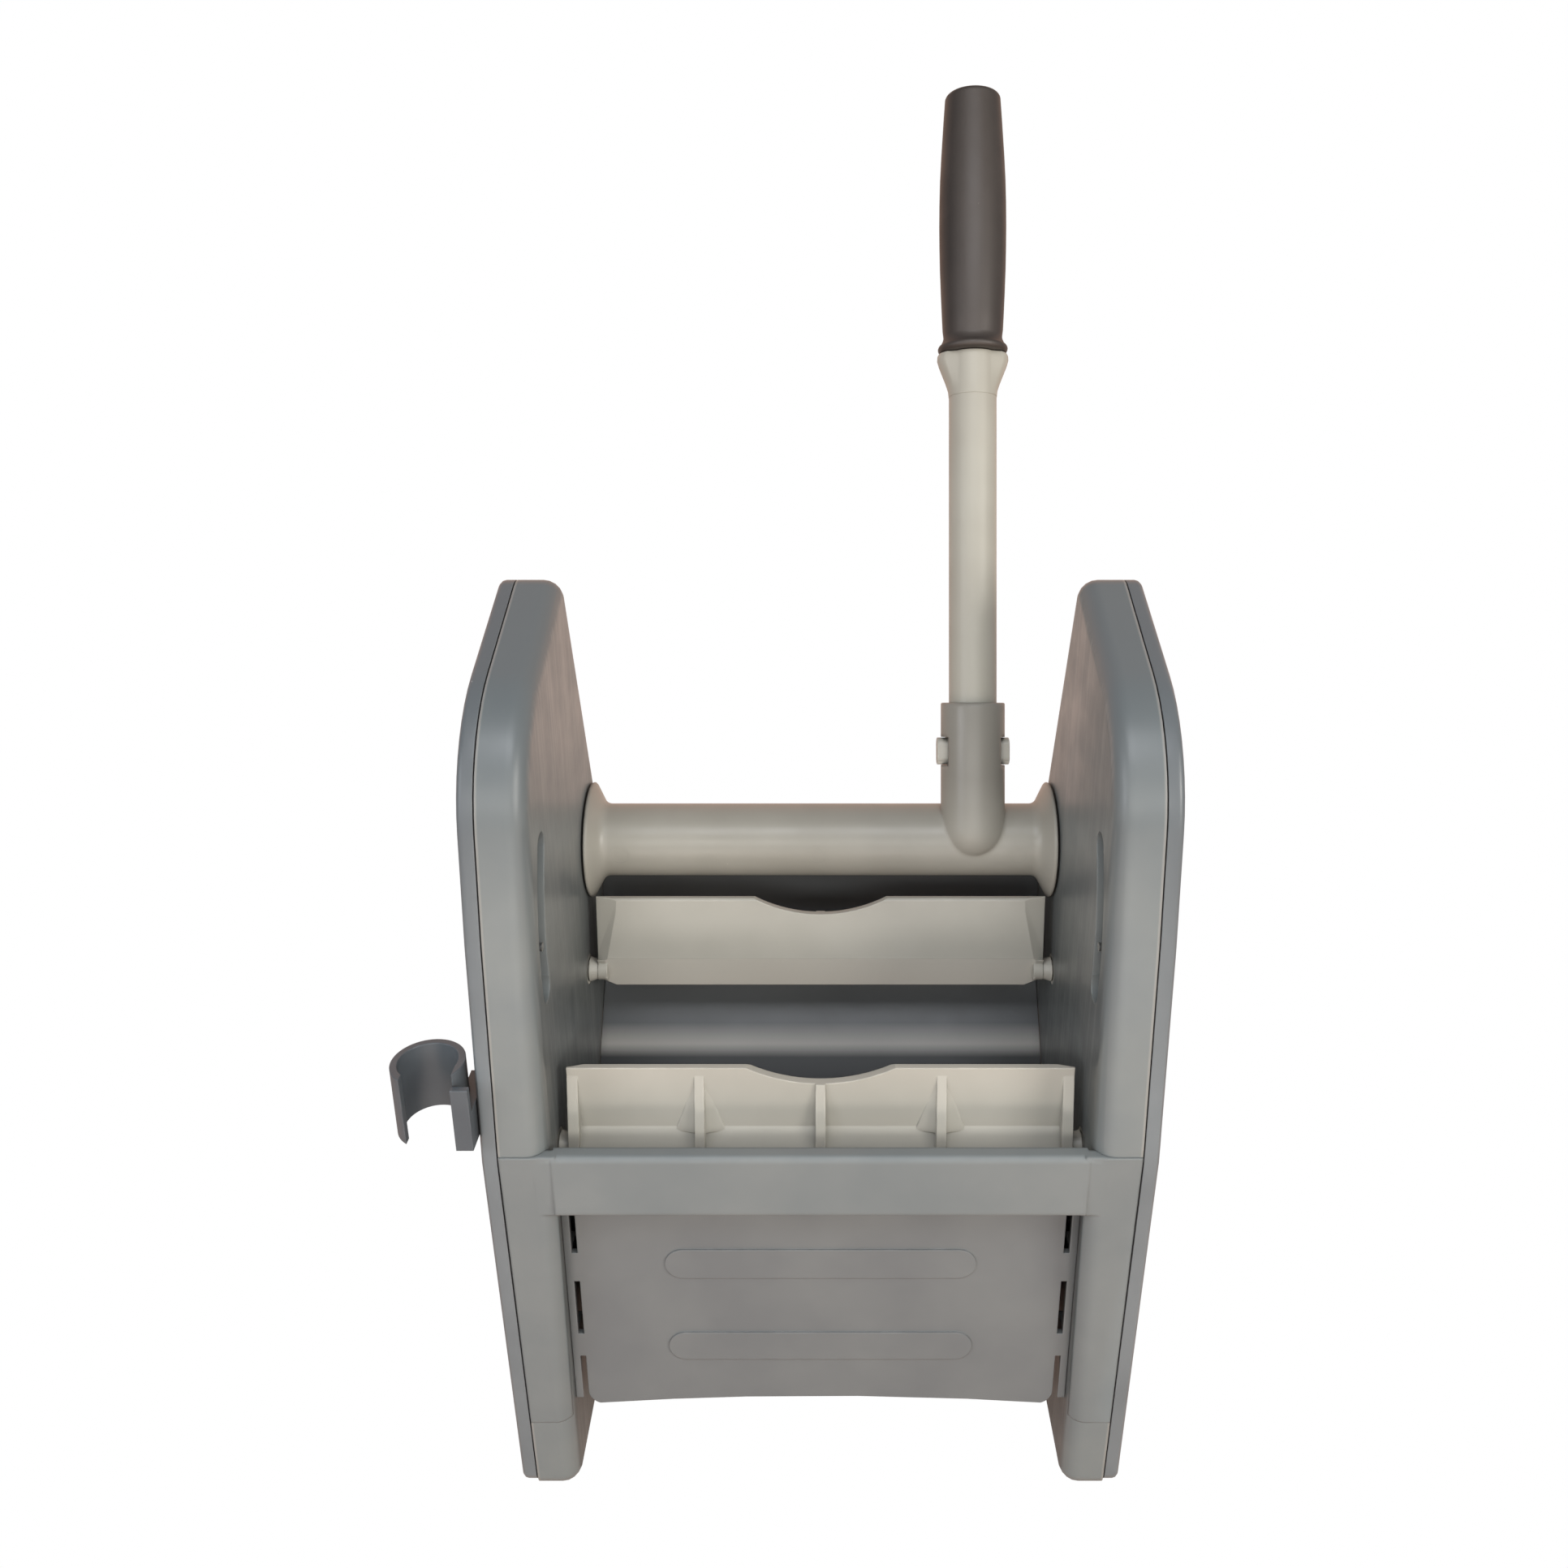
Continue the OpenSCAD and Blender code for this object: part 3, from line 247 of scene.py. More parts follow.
lamps = [
    lamp("key_from_the_right", (1000, -900, 420), (0, 0, -40), (500, 600), 9, "FFFBF4"),
    lamp("window_in_front", (-60, -1350, 400), (0, 0, -60), (1250, 260), 5, "FFFDF8"),
    lamp("fill_from_the_left", (-1000, -800, 380), (0, 0, -40), (500, 600), 4, "F6F8FF"),
    lamp("ceiling_above", (0, -850, 1100), (0, 0, -80), (1000, 400), 6.5, "F8FAFF"),
    lamp("bright_bench_in_front", (0, -950, -215), (0, 0, 10), (800, 130), 1.3, "FFFCF6"),
]
print("lamps:", [made.name for made in lamps])

# %% [markdown]
# ## Finishes
# A moulded plastic is never one flat colour. Its skin has a fine grain from the mould, its colour clouds a
# little as the melt cools, and its edges turn paler where hands and buckets rub them. The same few effects
# serve every plastic here, each at its own real size: the grain moves the surface, the clouds tint it, and
# the rub is found by comparing the true surface with one whose edges are rounded. Object coordinates keep
# all of them still.


# %% Shared effects of moulded plastics
def surface_points(material):
    """Object coordinates, in metres from the origin of the press."""
    return node(material, "TexCoord").outputs["Object"]


def clouds(material, points, size_mm, detail=3, stretch=None):
    """Soft noise whose patches are about size_mm wide. stretch scales it along x, y and z."""
    if stretch:
        mapped = node(material, "Mapping", [("Vector", points), ("Scale", stretch)])
        points = mapped.outputs[0]
    made = node(material, "TexNoise", [("Vector", points), ("Scale", 1 / (size_mm * MM)), ("Detail", detail)])
    return made.outputs["Fac"]


def from_shaft_mm(material, points, axis):
    """How far a point lies from the middle of the shaft along X, Y or Z, in millimetres."""
    along = node(material, "SeparateXYZ", [(0, points)]).outputs[axis]
    return times(material, minus(material, along, shaft["XYZ".index(axis)]), 1 / MM)


def facing(material, axis):
    """The part of the piece's own normal that lies along X, Y or Z."""
    normal = node(material, "TexCoord").outputs["Normal"]
    return node(material, "SeparateXYZ", [(0, normal)]).outputs[axis]


print("effects: clouds, places and directions")


# %% Rubbed edges and specks
patch_mm = 9


def rubbed(material, points, reach_mm):
    """1 where an edge is rubbed: the normal of a rounded edge leaves the true one, in patches."""
    true_normal = node(material, "NewGeometry").outputs["Normal"]
    rounded = node(material, "Bevel", [("Radius", reach_mm * MM)], samples=4).outputs[0]
    agree = node(material, "VectorMath", [(0, true_normal), (1, rounded)], operation="DOT_PRODUCT")
    edge = between(material, agree.outputs["Value"], 0.985, 0.86)
    patch = between(material, clouds(material, points, patch_mm, 4), 0.42, 0.62)
    return times(material, edge, patch)


def specks(material, points, apart_mm, size_mm):
    """Sparse dots, as dust and nicks leave: one cell in a few has one."""
    cells = node(material, "TexVoronoi", [("Vector", points), ("Scale", 1 / (apart_mm * MM))])
    dot = between(material, cells.outputs["Distance"], size_mm / apart_mm, 0.4 * size_mm / apart_mm)
    chosen = node(material, "SeparateColor", [(0, cells.outputs["Color"])])
    lucky = node(material, "Math", [(0, chosen.outputs[0]), (1, 0.8)], operation="GREATER_THAN").outputs[0]
    return times(material, dot, lucky)


print("edges rub in patches of", patch_mm, "mm")


# %% Painted shade where walls stand close
shade_reach_mm = 12


def painted_shade(material):
    """Painted shade: 1 deep in slots, seams and inner corners, where less of the room can be seen within the reach
    set above.
    """
    seen_room = node(material, "AmbientOcclusion", [("Distance", shade_reach_mm * MM)], samples=6).outputs["AO"]
    return between(material, seen_room, 0.62, 0.2)


print("grime gathers where walls stand closer than", shade_reach_mm, "mm")


# %% Marks on the faces that look sideways
def runs(material, points, width_mm):
    """Fine upright runs on faces whose normal lies along X, as a mop leaves them inside the panels."""
    normal = node(material, "SeparateXYZ", [(0, node(material, "NewGeometry").outputs["Normal"])])
    sideways = magnitude(material, normal.outputs["X"])
    streak = clouds(material, points, width_mm, 3, stretch=(1, 1, 0.03))
    return times(material, between(material, streak, 0.46, 0.7), between(material, sideways, 0.9, 0.99))


print("runs follow the height of the panels")


# %% One recipe for a moulded plastic
def moulded_plastic(name, base, cloud, worn, roughness, grain_mm, grain_depth, ior=1.49,
                    recess_shade="3A3B3A", runs_mm=None, rub=0.2, soft_mm=0.8, marks=None):
    """base and cloud are the colours between which the moulding drifts, worn that of its rubbed edges.

    soft_mm is how far the light runs round an edge, since no mould leaves a sharp one. Slots, seams and corners
    get a painted shade in their own colour. marks is a function that tints the colour further with painted light
    and shade for this one piece."""
    material = fresh_material(name)
    points = surface_points(material)
    drift = between(material, clouds(material, points, 45), 0.35, 0.65)
    colour = tint(material, drift, base, cloud)
    if marks:
        colour = marks(material, points, colour)
    if runs_mm:
        colour = tint(material, times(material, runs(material, points, runs_mm), 0.22), colour, worn)
    colour = tint(material, times(material, rubbed(material, points, 1.2), rub), colour, worn)
    colour = tint(material, times(material, specks(material, points, 26, 0.5), 0.7), colour, worn)
    # Painted shade: slots, seams and inner corners are darkened.
    colour = tint(material, times(material, painted_shade(material), 0.75), colour, recess_shade)
    smear = between(material, clouds(material, points, 18, 5), 0.3, 0.7, roughness - 0.05, roughness + 0.06)
    soft = node(material, "Bevel", [("Radius", soft_mm * MM)], samples=8).outputs[0]
    grain = clouds(material, points, grain_mm, 2)
    lift = node(material, "Bump", [("Height", grain), ("Strength", 0.35), ("Distance", grain_depth * MM),
                                   ("Normal", soft)])
    skin = node(material, "BsdfPrincipled",
                [("Base Color", colour), ("Roughness", smear), ("Normal", lift.outputs[0]), ("IOR", ior)])
    node(material, "OutputMaterial", [("Surface", skin.outputs[0])])
    return material


print("recipe for a moulded plastic ready")


# %% Painted light and shade on each piece
def panel_painted_light(material, points, colour):
    """Painted shade on the upper part and low on the inner faces, and a painted highlight along the seam."""
    height = from_shaft_mm(material, points, "Z")
    # Painted shade: the upper part grows darker towards the top.
    colour = tint(material, between(material, height, 10, 112, 0, 0.9), colour, "646A6C")
    # Painted shade: the inner faces grow darker low down.
    inside = between(material, magnitude(material, facing(material, "X")), 0.9, 0.99)
    inner_low_shade = times(material, inside, between(material, height, 35, -45, 0, 0.6))
    colour = tint(material, inner_low_shade, colour, "464847")
    # Painted highlight: a thin pale line along the edge, right at the seam.
    from_middle = magnitude(material, from_shaft_mm(material, points, "X"))
    from_seam = magnitude(material, minus(material, from_middle, seam_x))
    return tint(material, between(material, from_seam, 1.3, 0.7, 0, 0.35), colour, "ABA59C")


def cover_painted_shade(material, points, colour):
    """Painted shade: the covers grow darker towards the top, like the panels."""
    upper_shade = between(material, from_shaft_mm(material, points, "Z"), -36, 104, 0, 0.9)
    return tint(material, upper_shade, colour, "5F6467")


def chute_painted_light(material, points, colour):
    """Painted shade behind the front panel, darkest below the bend, with a pale painted highlight along the bend.
    """
    highlight_z = -119
    height = from_shaft_mm(material, points, "Z")
    # Painted shade, darker below the band.
    chute_shade = tint(material, between(material, height, highlight_z - 1, highlight_z - 5), "616466", "343637")
    # Painted highlight: a pale band along the bend.
    above = between(material, height, highlight_z + 8, highlight_z)
    below = between(material, height, highlight_z - 6, highlight_z - 0.5, 0, 0.75)
    chute_shade = tint(material, times(material, above, below), chute_shade, "CFCCC5")
    behind_panel = between(material, from_shaft_mm(material, points, "Y"), -122, -108)
    return tint(material, behind_panel, colour, chute_shade)


def jaw_painted_light(material, points, colour):
    """The lip below the bend looks downwards and is painted paler, as painted light where the lamps leave it dim.
    The pins beside it aren't.
    """
    on_plate = between(material, magnitude(material, from_shaft_mm(material, points, "X")), 112.5, 111.5)
    # Painted light on the lip that looks downwards.
    lip = times(material, on_plate, between(material, facing(material, "Z"), -0.2, -0.34))
    return tint(material, lip, colour, "DAD7CD")


def socket_painted_shade(material, points, colour):
    """Painted shade: the socket is darker than the bar, where the right panel shades it."""
    on_socket = between(material, from_shaft_mm(material, points, "Z"), 8, 40, 0, 0.85)
    return tint(material, on_socket, colour, "85827A")


# The marks above are painted shade and painted highlights.
print("marks of use: splashes, stains and rubbed lips")

# %% [markdown]
# ### The plastics of the press
# The panels, the frame and the chute are polypropylene: tough, slightly waxy and cool grey. The shaft, the
# jaws and the lever are nylon filled with glass fibre, stiffer and warmer in tone, with a drier skin. The
# clip is unfilled nylon, darker and smoother.

# %% Plastics
# Polypropylene, injection moulded against a fine sparked mould: an even satin with a soft, broad highlight.
housing_plastic = moulded_plastic("moulded_polypropylene_grey", "767C7D", "7E8382", "A8A8A5", 0.33, 0.5, 0.02,
                                  runs_mm=2.5, rub=0.1, recess_shade="565452", marks=panel_painted_light)
# The same polypropylene without runs, since the front frame has no faces that a mop rubs.
frame_plastic = moulded_plastic("moulded_polypropylene_frame", "747A7B", "7B8080", "A8A8A5", 0.36, 0.5, 0.02,
                                rub=0.1, soft_mm=2)
# The same polypropylene from another mould, a shade cooler, with the same satin.
cover_plastic = moulded_plastic("moulded_polypropylene_cool_grey", "6F7578", "777D80", "A8ACAD",
                                0.33, 0.5, 0.02, rub=0.15, recess_shade="565452", marks=cover_painted_shade)
# The chute's polypropylene is darker and more matt, since its mould is left as machined.
chute_plastic = moulded_plastic("moulded_polypropylene_dark_grey", "6E7172", "757878", "9DA0A0",
                                0.34, 0.7, 0.02, marks=chute_painted_light)
# Nylon with glass fibre: warm grey, satin, with a drier skin and paler edges, partly rubbed and partly a painted
# highlight.
nylon = moulded_plastic("glass_filled_nylon_warm_grey", "AEABA1", "B5B2A8", "D9D5CA", 0.38, 0.6, 0.03,
                        ior=1.53, recess_shade="55534D", rub=0.6, marks=jaw_painted_light)
# The shaft is the same nylon; its socket runs into the bar with a wide soft fillet.
shaft_nylon = moulded_plastic("glass_filled_nylon_shaft", "A09D93", "A8A59B", "C6C3B9", 0.36, 0.6, 0.03,
                              ior=1.53, recess_shade="4F4D48", soft_mm=3.5, marks=socket_painted_shade)
# The lever's tube is the palest of the nylon mouldings.
tube_nylon = moulded_plastic("glass_filled_nylon_pale_grey", "A8A498", "AEAB9F", "BFBCB1", 0.42, 0.6, 0.02,
                             ior=1.53, recess_shade="66645D", rub=0.1)
# Unfilled nylon snaps without cracking: blue-grey, smoother and a little glossier.
clip_nylon = moulded_plastic("moulded_nylon_blue_grey", "50565B", "5A6166", "8E969B", 0.34, 0.8, 0.015,
                             ior=1.53)
# Acetal is the slippery, milky plastic of small gears and bushes.
acetal = moulded_plastic("moulded_acetal_milky", "C9C6BA", "D2CFC4", "E6E4DB", 0.32, 0.8, 0.01, ior=1.48)
plastics = (housing_plastic, frame_plastic, cover_plastic, chute_plastic, nylon, shaft_nylon, tube_nylon,
            clip_nylon, acetal)
print("plastics:", [m.name for m in plastics])


# %% Rubber and steel
def grip_rubber():
    """Moulded nitrile rubber: near black, slightly brown, with a skin that catches a broad soft light."""
    material = fresh_material("moulded_nitrile_rubber")
    points = surface_points(material)
    bloom = between(material, clouds(material, points, 30, 4), 0.35, 0.7)
    colour = tint(material, bloom, "2D2825", "39332F")
    # Painted highlight: the front of the grip is paler than its sides, where the lamps in front shine on it.
    colour = tint(material, between(material, facing(material, "Y"), -0.6, -0.97, 0, 0.7), colour, "544D48")
    dust = specks(material, points, 14, 0.5)
    colour = tint(material, times(material, dust, 0.4), colour, "8A837E")
    smear = between(material, clouds(material, points, 12, 5), 0.3, 0.7, 0.42, 0.5)
    grain = clouds(material, points, 0.5, 2)
    lift = node(material, "Bump", [("Height", grain), ("Strength", 0.4), ("Distance", 0.03 * MM)])
    skin = node(material, "BsdfPrincipled", [("Base Color", colour), ("Roughness", smear),
                                             ("Normal", lift.outputs[0]), ("IOR", 1.46)])
    node(material, "OutputMaterial", [("Surface", skin.outputs[0])])
    return material


def turned_steel():
    """Stainless steel turned on a lathe: fine rings show as a soft uneven gloss."""
    material = fresh_material("turned_stainless_steel")
    points = surface_points(material)
    rings = clouds(material, points, 0.4, 2, stretch=(6, 1, 1))
    gloss = between(material, rings, 0.3, 0.7, 0.24, 0.38)
    colour = tint(material, clouds(material, points, 6), "A3A5A8", "B4B6B8")
    lift = node(material, "Bump", [("Height", rings), ("Strength", 0.3), ("Distance", 0.01 * MM)])
    skin = node(material, "BsdfPrincipled", [("Base Color", colour), ("Metallic", 1.0), ("Roughness", gloss),
                                             ("Normal", lift.outputs[0])])
    node(material, "OutputMaterial", [("Surface", skin.outputs[0])])
    return material


rubber = grip_rubber()
steel = turned_steel()
print("finishes for the grip and the fasteners:", rubber.name, steel.name)

# %% [markdown]
# ## Helpers for modelling
# Operators act on whatever is selected, so each helper clears the selection first. A modifier is added, set
# and applied at once, so that the finished mesh holds its own shape.


# %% Selection, modifiers and combining
def only(piece):
    """Selects one object and makes it the active one."""
    bpy.ops.object.select_all(action="DESELECT")
    piece.select_set(True)
    bpy.context.view_layer.objects.active = piece


def apply(piece, kind, **settings):
    """Adds a modifier, sets it and applies it."""
    only(piece)
    modifier = piece.modifiers.new(kind.lower(), kind)
    for name, value in settings.items():
        setattr(modifier, name, value)
    bpy.ops.object.modifier_apply(modifier=modifier.name)


def combine(piece, tool, how):
    """UNION joins the tool to the piece, DIFFERENCE cuts it out. The tool is then gone."""
    apply(piece, "BOOLEAN", operation=how, object=tool, solver="EXACT")
    bpy.data.objects.remove(tool)
    return piece


print("helpers: only, apply and combine")


# %% Setting a piece down
def settle(piece, body, material, nodes, origin=shaft, lean=0.0, sharp=40):
    """Turns a piece modelled in millimetres round an axis into one in metres that rides on a body."""
    only(piece)
    piece.scale = (MM, MM, MM)
    piece.rotation_euler = (math.radians(lean), 0, 0)
    piece.location = origin
    bpy.ops.object.transform_apply(location=True, rotation=True, scale=True)
    bpy.ops.object.shade_smooth_by_angle(angle=math.radians(sharp))
    piece.data.materials.clear()
    piece.data.materials.append(material)
    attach(piece, body)
    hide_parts(*nodes)
    return piece


print("pieces settle around the shaft at", [round(v, 4) for v in shaft])

# %% [markdown]
# ## Mouldings that keep their construction
# The panels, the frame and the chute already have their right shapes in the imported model, but its edges are
# knife sharp and its faces are loose triangles. A copy is merged, its flat triangles are dissolved into
# whole faces, and its edges are rounded as a mould would round them. That is quicker than modelling them
# anew, and it keeps every screw boss and rib where it was built.


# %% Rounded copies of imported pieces
merge_mm, flat_degrees = 0.004, 1.5


def from_frame(node_name, piece_name, radius, segments=2, over=32):
    """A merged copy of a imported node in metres, with its edges rounded by a radius in millimetres."""
    source = frame["nodes"][node_name]
    piece = bpy.data.objects.new(piece_name, source.data.copy())
    bpy.context.scene.collection.objects.link(piece)
    only(piece)
    bpy.ops.object.mode_set(mode="EDIT")
    bpy.ops.mesh.select_all(action="SELECT")
    bpy.ops.mesh.remove_doubles(threshold=merge_mm * MM)
    bpy.ops.mesh.dissolve_limited(angle_limit=math.radians(flat_degrees))
    bpy.ops.object.mode_set(mode="OBJECT")
    apply(piece, "BEVEL", width=radius * MM, segments=segments, limit_method="ANGLE",
          angle_limit=math.radians(over))
    return piece


def dress(piece, body, material, node_name, sharp=32):
    """Shades a rounded copy, gives it its finish and lets it stand for its node."""
    only(piece)
    bpy.ops.object.shade_smooth_by_angle(angle=math.radians(sharp))
    apply(piece, "WEIGHTED_NORMAL", keep_sharp=True, weight=100)
    piece.data.materials.clear()
    piece.data.materials.append(material)
    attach(piece, body)
    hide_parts(node_name)
    print(piece.name, "has", len(piece.data.polygons), "faces")
    return piece


# %% Side housings and outer covers
for hand in ("left", "right"):
    housing = from_frame(f"{hand}_side_housing", f"{hand}_housing_shell", 0.5)
    dress(housing, "frame", housing_plastic, f"{hand}_side_housing")
    cover = from_frame(f"{hand}_outer_cover", f"{hand}_cover_shell", 0.4)
    dress(cover, "frame", cover_plastic, f"{hand}_outer_cover")

# %% Front frame and water chute
front = from_frame("front_frame", "front_frame_moulding", 0.6, segments=3)
dress(front, "frame", frame_plastic, "front_frame")
chute = from_frame("water_chute", "chute_moulding", 0.7, segments=3)
dress(chute, "frame", chute_plastic, "water_chute")

# %% [markdown]
# ## Turned pieces
# The grip, the lever's tube and the shaft are round, so they grow ring by ring: a circle is extruded along
# its axis and resized at each step, which is how a turner reads a drawing. The axis is X for the shaft and
# Z for the lever, whose pieces are modelled upright and lean back only when they are set down.


# %% A round piece from its rings
def turned(name, rings, axis="Z", sides=96):
    """Extrudes a circle through rings of (radius, place along the axis), all in millimetres."""
    along_x = axis == "X"
    radius, place = rings[0]
    bpy.ops.object.select_all(action="DESELECT")
    bpy.ops.mesh.primitive_circle_add(
        vertices=sides, radius=radius, fill_type="NGON",
        location=(place, 0, 0) if along_x else (0, 0, place),
        rotation=(0, math.pi / 2, 0) if along_x else (0, 0, 0))
    piece = bpy.context.object
    piece.name = name
    bpy.ops.object.transform_apply(location=True, rotation=True, scale=True)
    bpy.ops.object.mode_set(mode="EDIT")
    bpy.ops.mesh.select_all(action="SELECT")
    for next_radius, next_place in rings[1:]:
        step, ratio = next_place - place, next_radius / radius
        move = (step, 0, 0) if along_x else (0, 0, step)
        bpy.ops.mesh.extrude_region_move(TRANSFORM_OT_translate={"value": move})
        bpy.ops.transform.resize(value=(1, ratio, ratio) if along_x else (ratio, ratio, 1),
                                 center_override=(next_place, 0, 0) if along_x else (0, 0, next_place))
        radius, place = next_radius, next_place
    bpy.ops.mesh.select_all(action="SELECT")
    bpy.ops.mesh.normals_make_consistent(inside=False)
    bpy.ops.object.mode_set(mode="OBJECT")
    return piece


def arc(r_mid, z_mid, radius, start, end, steps=8):
    """Rings along a rounding: degrees count from straight outwards towards the top."""
    angles = [math.radians(start + (end - start) * k / steps) for k in range(steps + 1)]
    return [(r_mid + radius * math.cos(a), z_mid + radius * math.sin(a)) for a in angles]


print("a grip's flat end has", len(arc(11, 130, 3, 0, 90)), "rings in its rounding")

# %% [markdown]
# ### The grip
# A rubber sleeve is pulled over the tube: it swells in the middle to fill the palm, narrows to a groove and
# ends in a bead that keeps the hand off the collar. Its outline is a list of rings, with arcs where rubber
# turns a corner, since even a fine chamfer would look like a hard plastic.

# %% Where the lever's pieces lie
lever_lean = -20
lever_x, lever_front = 79, -10
lever_foot = shaft + Vector((lever_x, 0, 0)) * MM
socket_top, collar_z, grip_z, grip_end = 72, 230.5, 253, 387


def on_lever(piece, body, material, nodes, sharp=40):
    """Sets down a piece modelled upright about the lever's own axis."""
    only(piece)
    piece.location = (0, lever_front, 0)
    bpy.ops.object.transform_apply(location=True, rotation=True, scale=True)
    return settle(piece, body, material, nodes, origin=lever_foot, lean=lever_lean, sharp=sharp)


print("lever foot at", [round(v, 4) for v in lever_foot])

# %% Rubber grip
belly = 17.3
grip_rings = [(12.4, grip_z + 0.05), (15.6, grip_z + 0.05)]
grip_rings += arc(15.9, grip_z + 2.2, 2.1, -90, 60)
grip_rings += [(16.2, grip_z + 5.0), (15.5, grip_z + 6.6), (15.2, grip_z + 7.8), (15.2, grip_z + 8.8)]
swell = [(15.6, 12), (16.0, 20), (16.5, 31), (16.95, 43), (17.2, 55), (belly, 66), (17.2, 78), (16.9, 90),
         (16.3, 102), (15.6, 113), (15.1, 121), (14.6, 128)]
grip_rings += [(r, grip_z + z) for r, z in swell]
grip_rings += arc(11.6, grip_end - 2.9, 2.8, 0, 80)
grip_rings += [(9, grip_end + 0.05), (3, grip_end + 0.1)]
grip = turned("rubber_grip", grip_rings)
on_lever(grip, "lever", rubber, ["lever_grip"], sharp=60)
print("grip", round(grip_end - grip_z), "mm long with", len(grip_rings), "rings")

# %% Lever tube
tube_r = 12.3
tube = turned("lever_tube", [(tube_r, socket_top - 6), (tube_r, collar_z + 4), (tube_r, grip_z - 0.2)])
on_lever(tube, "lever", tube_nylon, ["lever_arm"])
print("tube", 2 * tube_r, "mm thick")

# %% [markdown]
# ### The collar
# Where the grip begins the tube carries two fins, one to each side, that flare upwards and hold the rubber.
# They melt into the tube without an edge, so they start as rings of the tube itself, and the sides of each
# ring are pulled out to the fins' reach at that height.

# %% Collar with its two fins
def collar():
    """A short round sleeve whose rings are pulled out sideways, each to its own reach in millimetres."""
    sleeve_r, side_from = 12.45, 9
    fins = [(0.0, sleeve_r), (3.0, 12.75), (7.0, 14.1), (11.5, 15.9), (15.5, 17.5), (18.8, 18.45),
            (21.0, 18.3), (22.2, 17.6)]
    sleeve = [(sleeve_r, collar_z)] + [(sleeve_r + 0.01, collar_z + z) for z, _ in fins[1:]]
    piece = turned("grip_collar", sleeve, sides=48)
    bpy.ops.object.mode_set(mode="EDIT")
    for height, reach in fins:
        bpy.ops.mesh.select_all(action="DESELECT")
        bpy.ops.object.mode_set(mode="OBJECT")
        for vertex in piece.data.vertices:
            level = abs(vertex.co.z - collar_z - height) < 0.05
            vertex.select = level and abs(vertex.co.x) > side_from
        bpy.ops.object.mode_set(mode="EDIT")
        bpy.ops.mesh.select_mode(type="VERT")
        bpy.ops.transform.resize(value=(reach / sleeve_r, 1, 1), center_override=(0, 0, collar_z + height))
    bpy.ops.object.mode_set(mode="OBJECT")
    return piece


winged_collar = collar()
on_lever(winged_collar, "lever", tube_nylon, ["lever_collar"], sharp=50)
print("collar with", len(winged_collar.data.polygons), "faces")

# %% [markdown]
# ### The drive shaft
# The shaft is one moulding: a round bar that flares into a flange at each panel, and an upright socket with
# a rounded foot that takes the lever. Flange and bar are turned together about X. The socket is turned
# upright, put in its leaning place and joined by a union. The finish runs the light softly round the corner
# between them, because a sharp joint would crack and no moulder leaves one.

# %% Bar, flanges and journals
flange_x, bar_r, flange_r = 120, 18.8, 30
flare_x, fillet_r = flange_x - 10.2, 5
flare = [(bar_r + fillet_r * (1 - math.cos(a)), flare_x + fillet_r * math.sin(a))
         for a in [math.radians(d) for d in (0, 8, 17, 27, 37, 47, 58)]]
half = [(bar_r, 0), (bar_r, 60), (bar_r, flare_x - 1)] + flare
half += [(flange_r - 0.6, flange_x - 1.5), (flange_r - 0.1, flange_x - 1.1), (flange_r, flange_x - 0.7)]
half += [(flange_r - 0.2, flange_x - 0.2), (flange_r - 0.8, flange_x)]
half += [(12, flange_x), (12, 127), (8, 127), (8, 136)]
rings = [(r, -x) for r, x in reversed(half[1:])] + half
bar = turned("drive_shaft_moulding", rings, axis="X")
print("shaft with", len(rings), "rings")

# %% Socket
# A flat notch on each side lets a thumb reach the button, whose edge shows from the front.
socket_r, socket_base = 16.5, 8
foot = [(max(r, 0.8), z) for r, z in arc(0, socket_base, socket_r, -88, 0, 14)]
mouth = arc(socket_r - 0.8, socket_top - 0.8, 0.8, 0, 90, 4)
rim = [(tube_r + 0.1, socket_top), (tube_r + 0.1, socket_top - 5)]
socket = turned("socket", foot + [(socket_r, 40)] + mouth + rim)
notch_x, button_z, notch_h = 13.3, 47, 14.8
for side in (-1, 1):
    bpy.ops.object.select_all(action="DESELECT")
    bpy.ops.mesh.primitive_cube_add(size=1, location=(side * (notch_x + 5), 0, button_z),
                                    scale=(10, 40, notch_h))
    notch = bpy.context.object
    bpy.ops.object.transform_apply(location=True, rotation=True, scale=True)
    combine(socket, notch, "DIFFERENCE")
only(socket)
socket.location = (0, lever_front, 0)
bpy.ops.object.transform_apply(location=True, rotation=True, scale=True)
socket.rotation_euler = (math.radians(lever_lean), 0, 0)
socket.location = (lever_x, 0, 0)
bpy.ops.object.transform_apply(location=True, rotation=True, scale=True)
combine(bar, socket, "UNION")
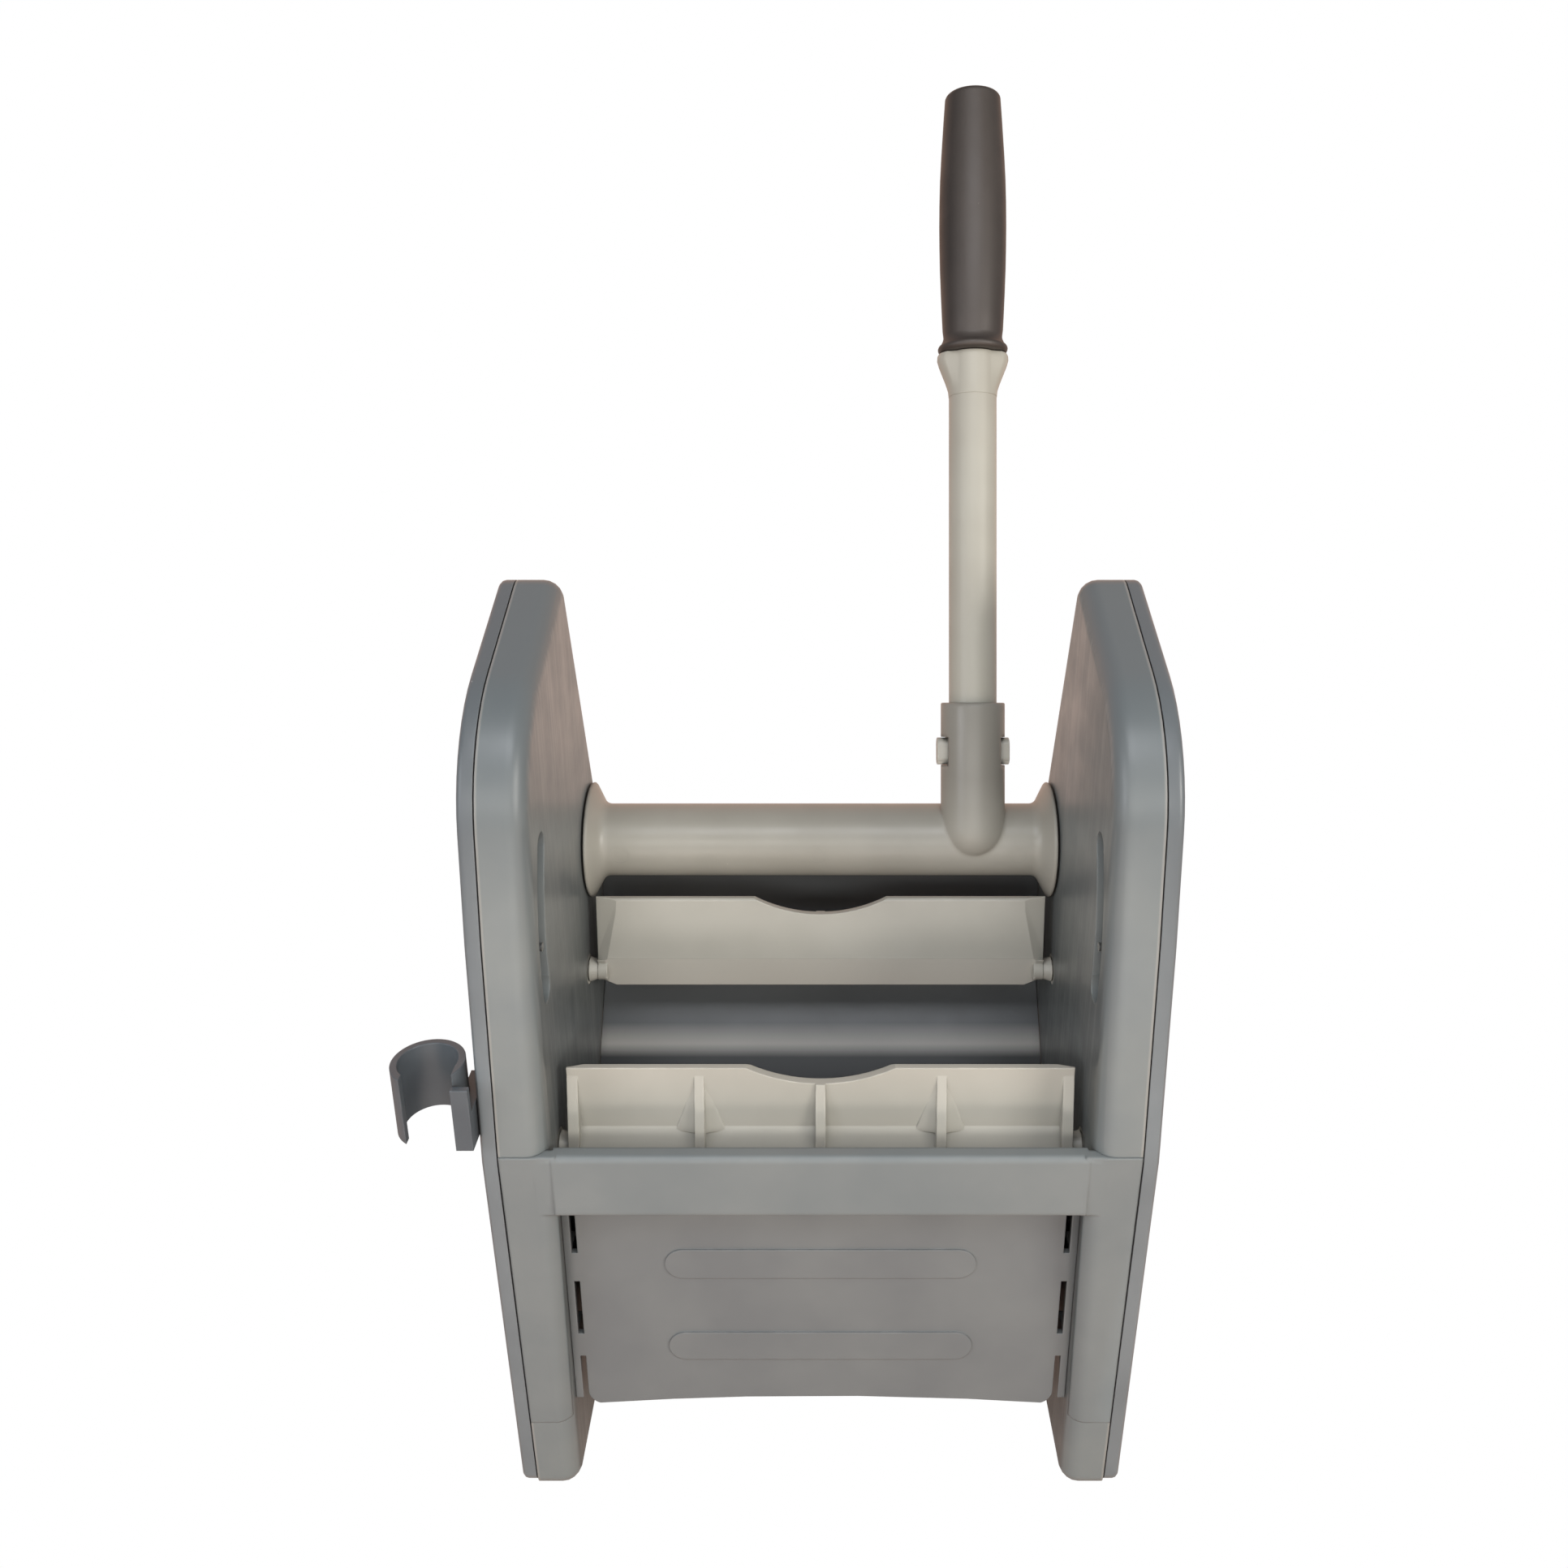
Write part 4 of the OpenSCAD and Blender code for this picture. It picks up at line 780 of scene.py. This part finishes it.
print("shaft and socket joined:", len(bar.data.polygons), "faces")

# %% Ejector marks and finish of the shaft
mark_places = (-103, -1.5, 101.5)
mark_depth, mark_r = 0.15, 4.4
for mark_x in mark_places:
    bpy.ops.object.select_all(action="DESELECT")
    bpy.ops.mesh.primitive_cylinder_add(vertices=48, radius=mark_r, depth=6, location=(mark_x, -bar_r, 0),
                                        rotation=(math.pi / 2, 0, 0))
    mark = bpy.context.object
    core = turned("core", [(bar_r - mark_depth, mark_x - 8), (bar_r - mark_depth, mark_x + 8)], axis="X")
    combine(mark, core, "DIFFERENCE")
    combine(bar, mark, "DIFFERENCE")
settle(bar, "lever", shaft_nylon, ["drive_shaft"], sharp=35)
print("shaft with", len(mark_places), "ejector marks")

# %% Buttons
for hand in ("left", "right"):
    button = from_frame(f"{hand}_button", f"{hand}_release_button", 0.6, segments=3)
    dress(button, f"{hand}_button_body", nylon, f"{hand}_button")

# %% Mop handle clip
clip = from_frame("mop_handle_clip", "handle_clip", 0.5, segments=3)
dress(clip, "frame", clip_nylon, "mop_handle_clip")

# %% Jaws
for name in ("rear_jaw", "front_jaw"):
    jaw = from_frame(name + "_plate", name + "_moulding", 0.7, segments=3, over=12)
    dress(jaw, name, nylon, name + "_plate", sharp=12)

# %% [markdown]
# ## Pieces that stay as they are
# Bushes, gears, axles and most screws sit inside the panels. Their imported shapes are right, so they only
# get their plastics and their steel.

# %% Inner pieces
inner = {
    "bush": acetal, "gear": acetal, "steel": steel, "housing": housing_plastic, "cover": cover_plastic,
    "chute": chute_plastic, "clip": clip_nylon, "shaft": nylon, "tube": tube_nylon, "grip": rubber,
    "button": nylon, "jaw": nylon,
}
for part in frame["record"]["subparts"]:
    packed = frame["nodes"][part["node"]]
    packed.data.materials.clear()
    packed.data.materials.append(inner[part["material_slot"]])

# %% [markdown]
# ## Last steps
# The view transform stays plain, so that a colour shows as it is written.

# %% View
bpy.context.scene.view_settings.view_transform = "Standard"
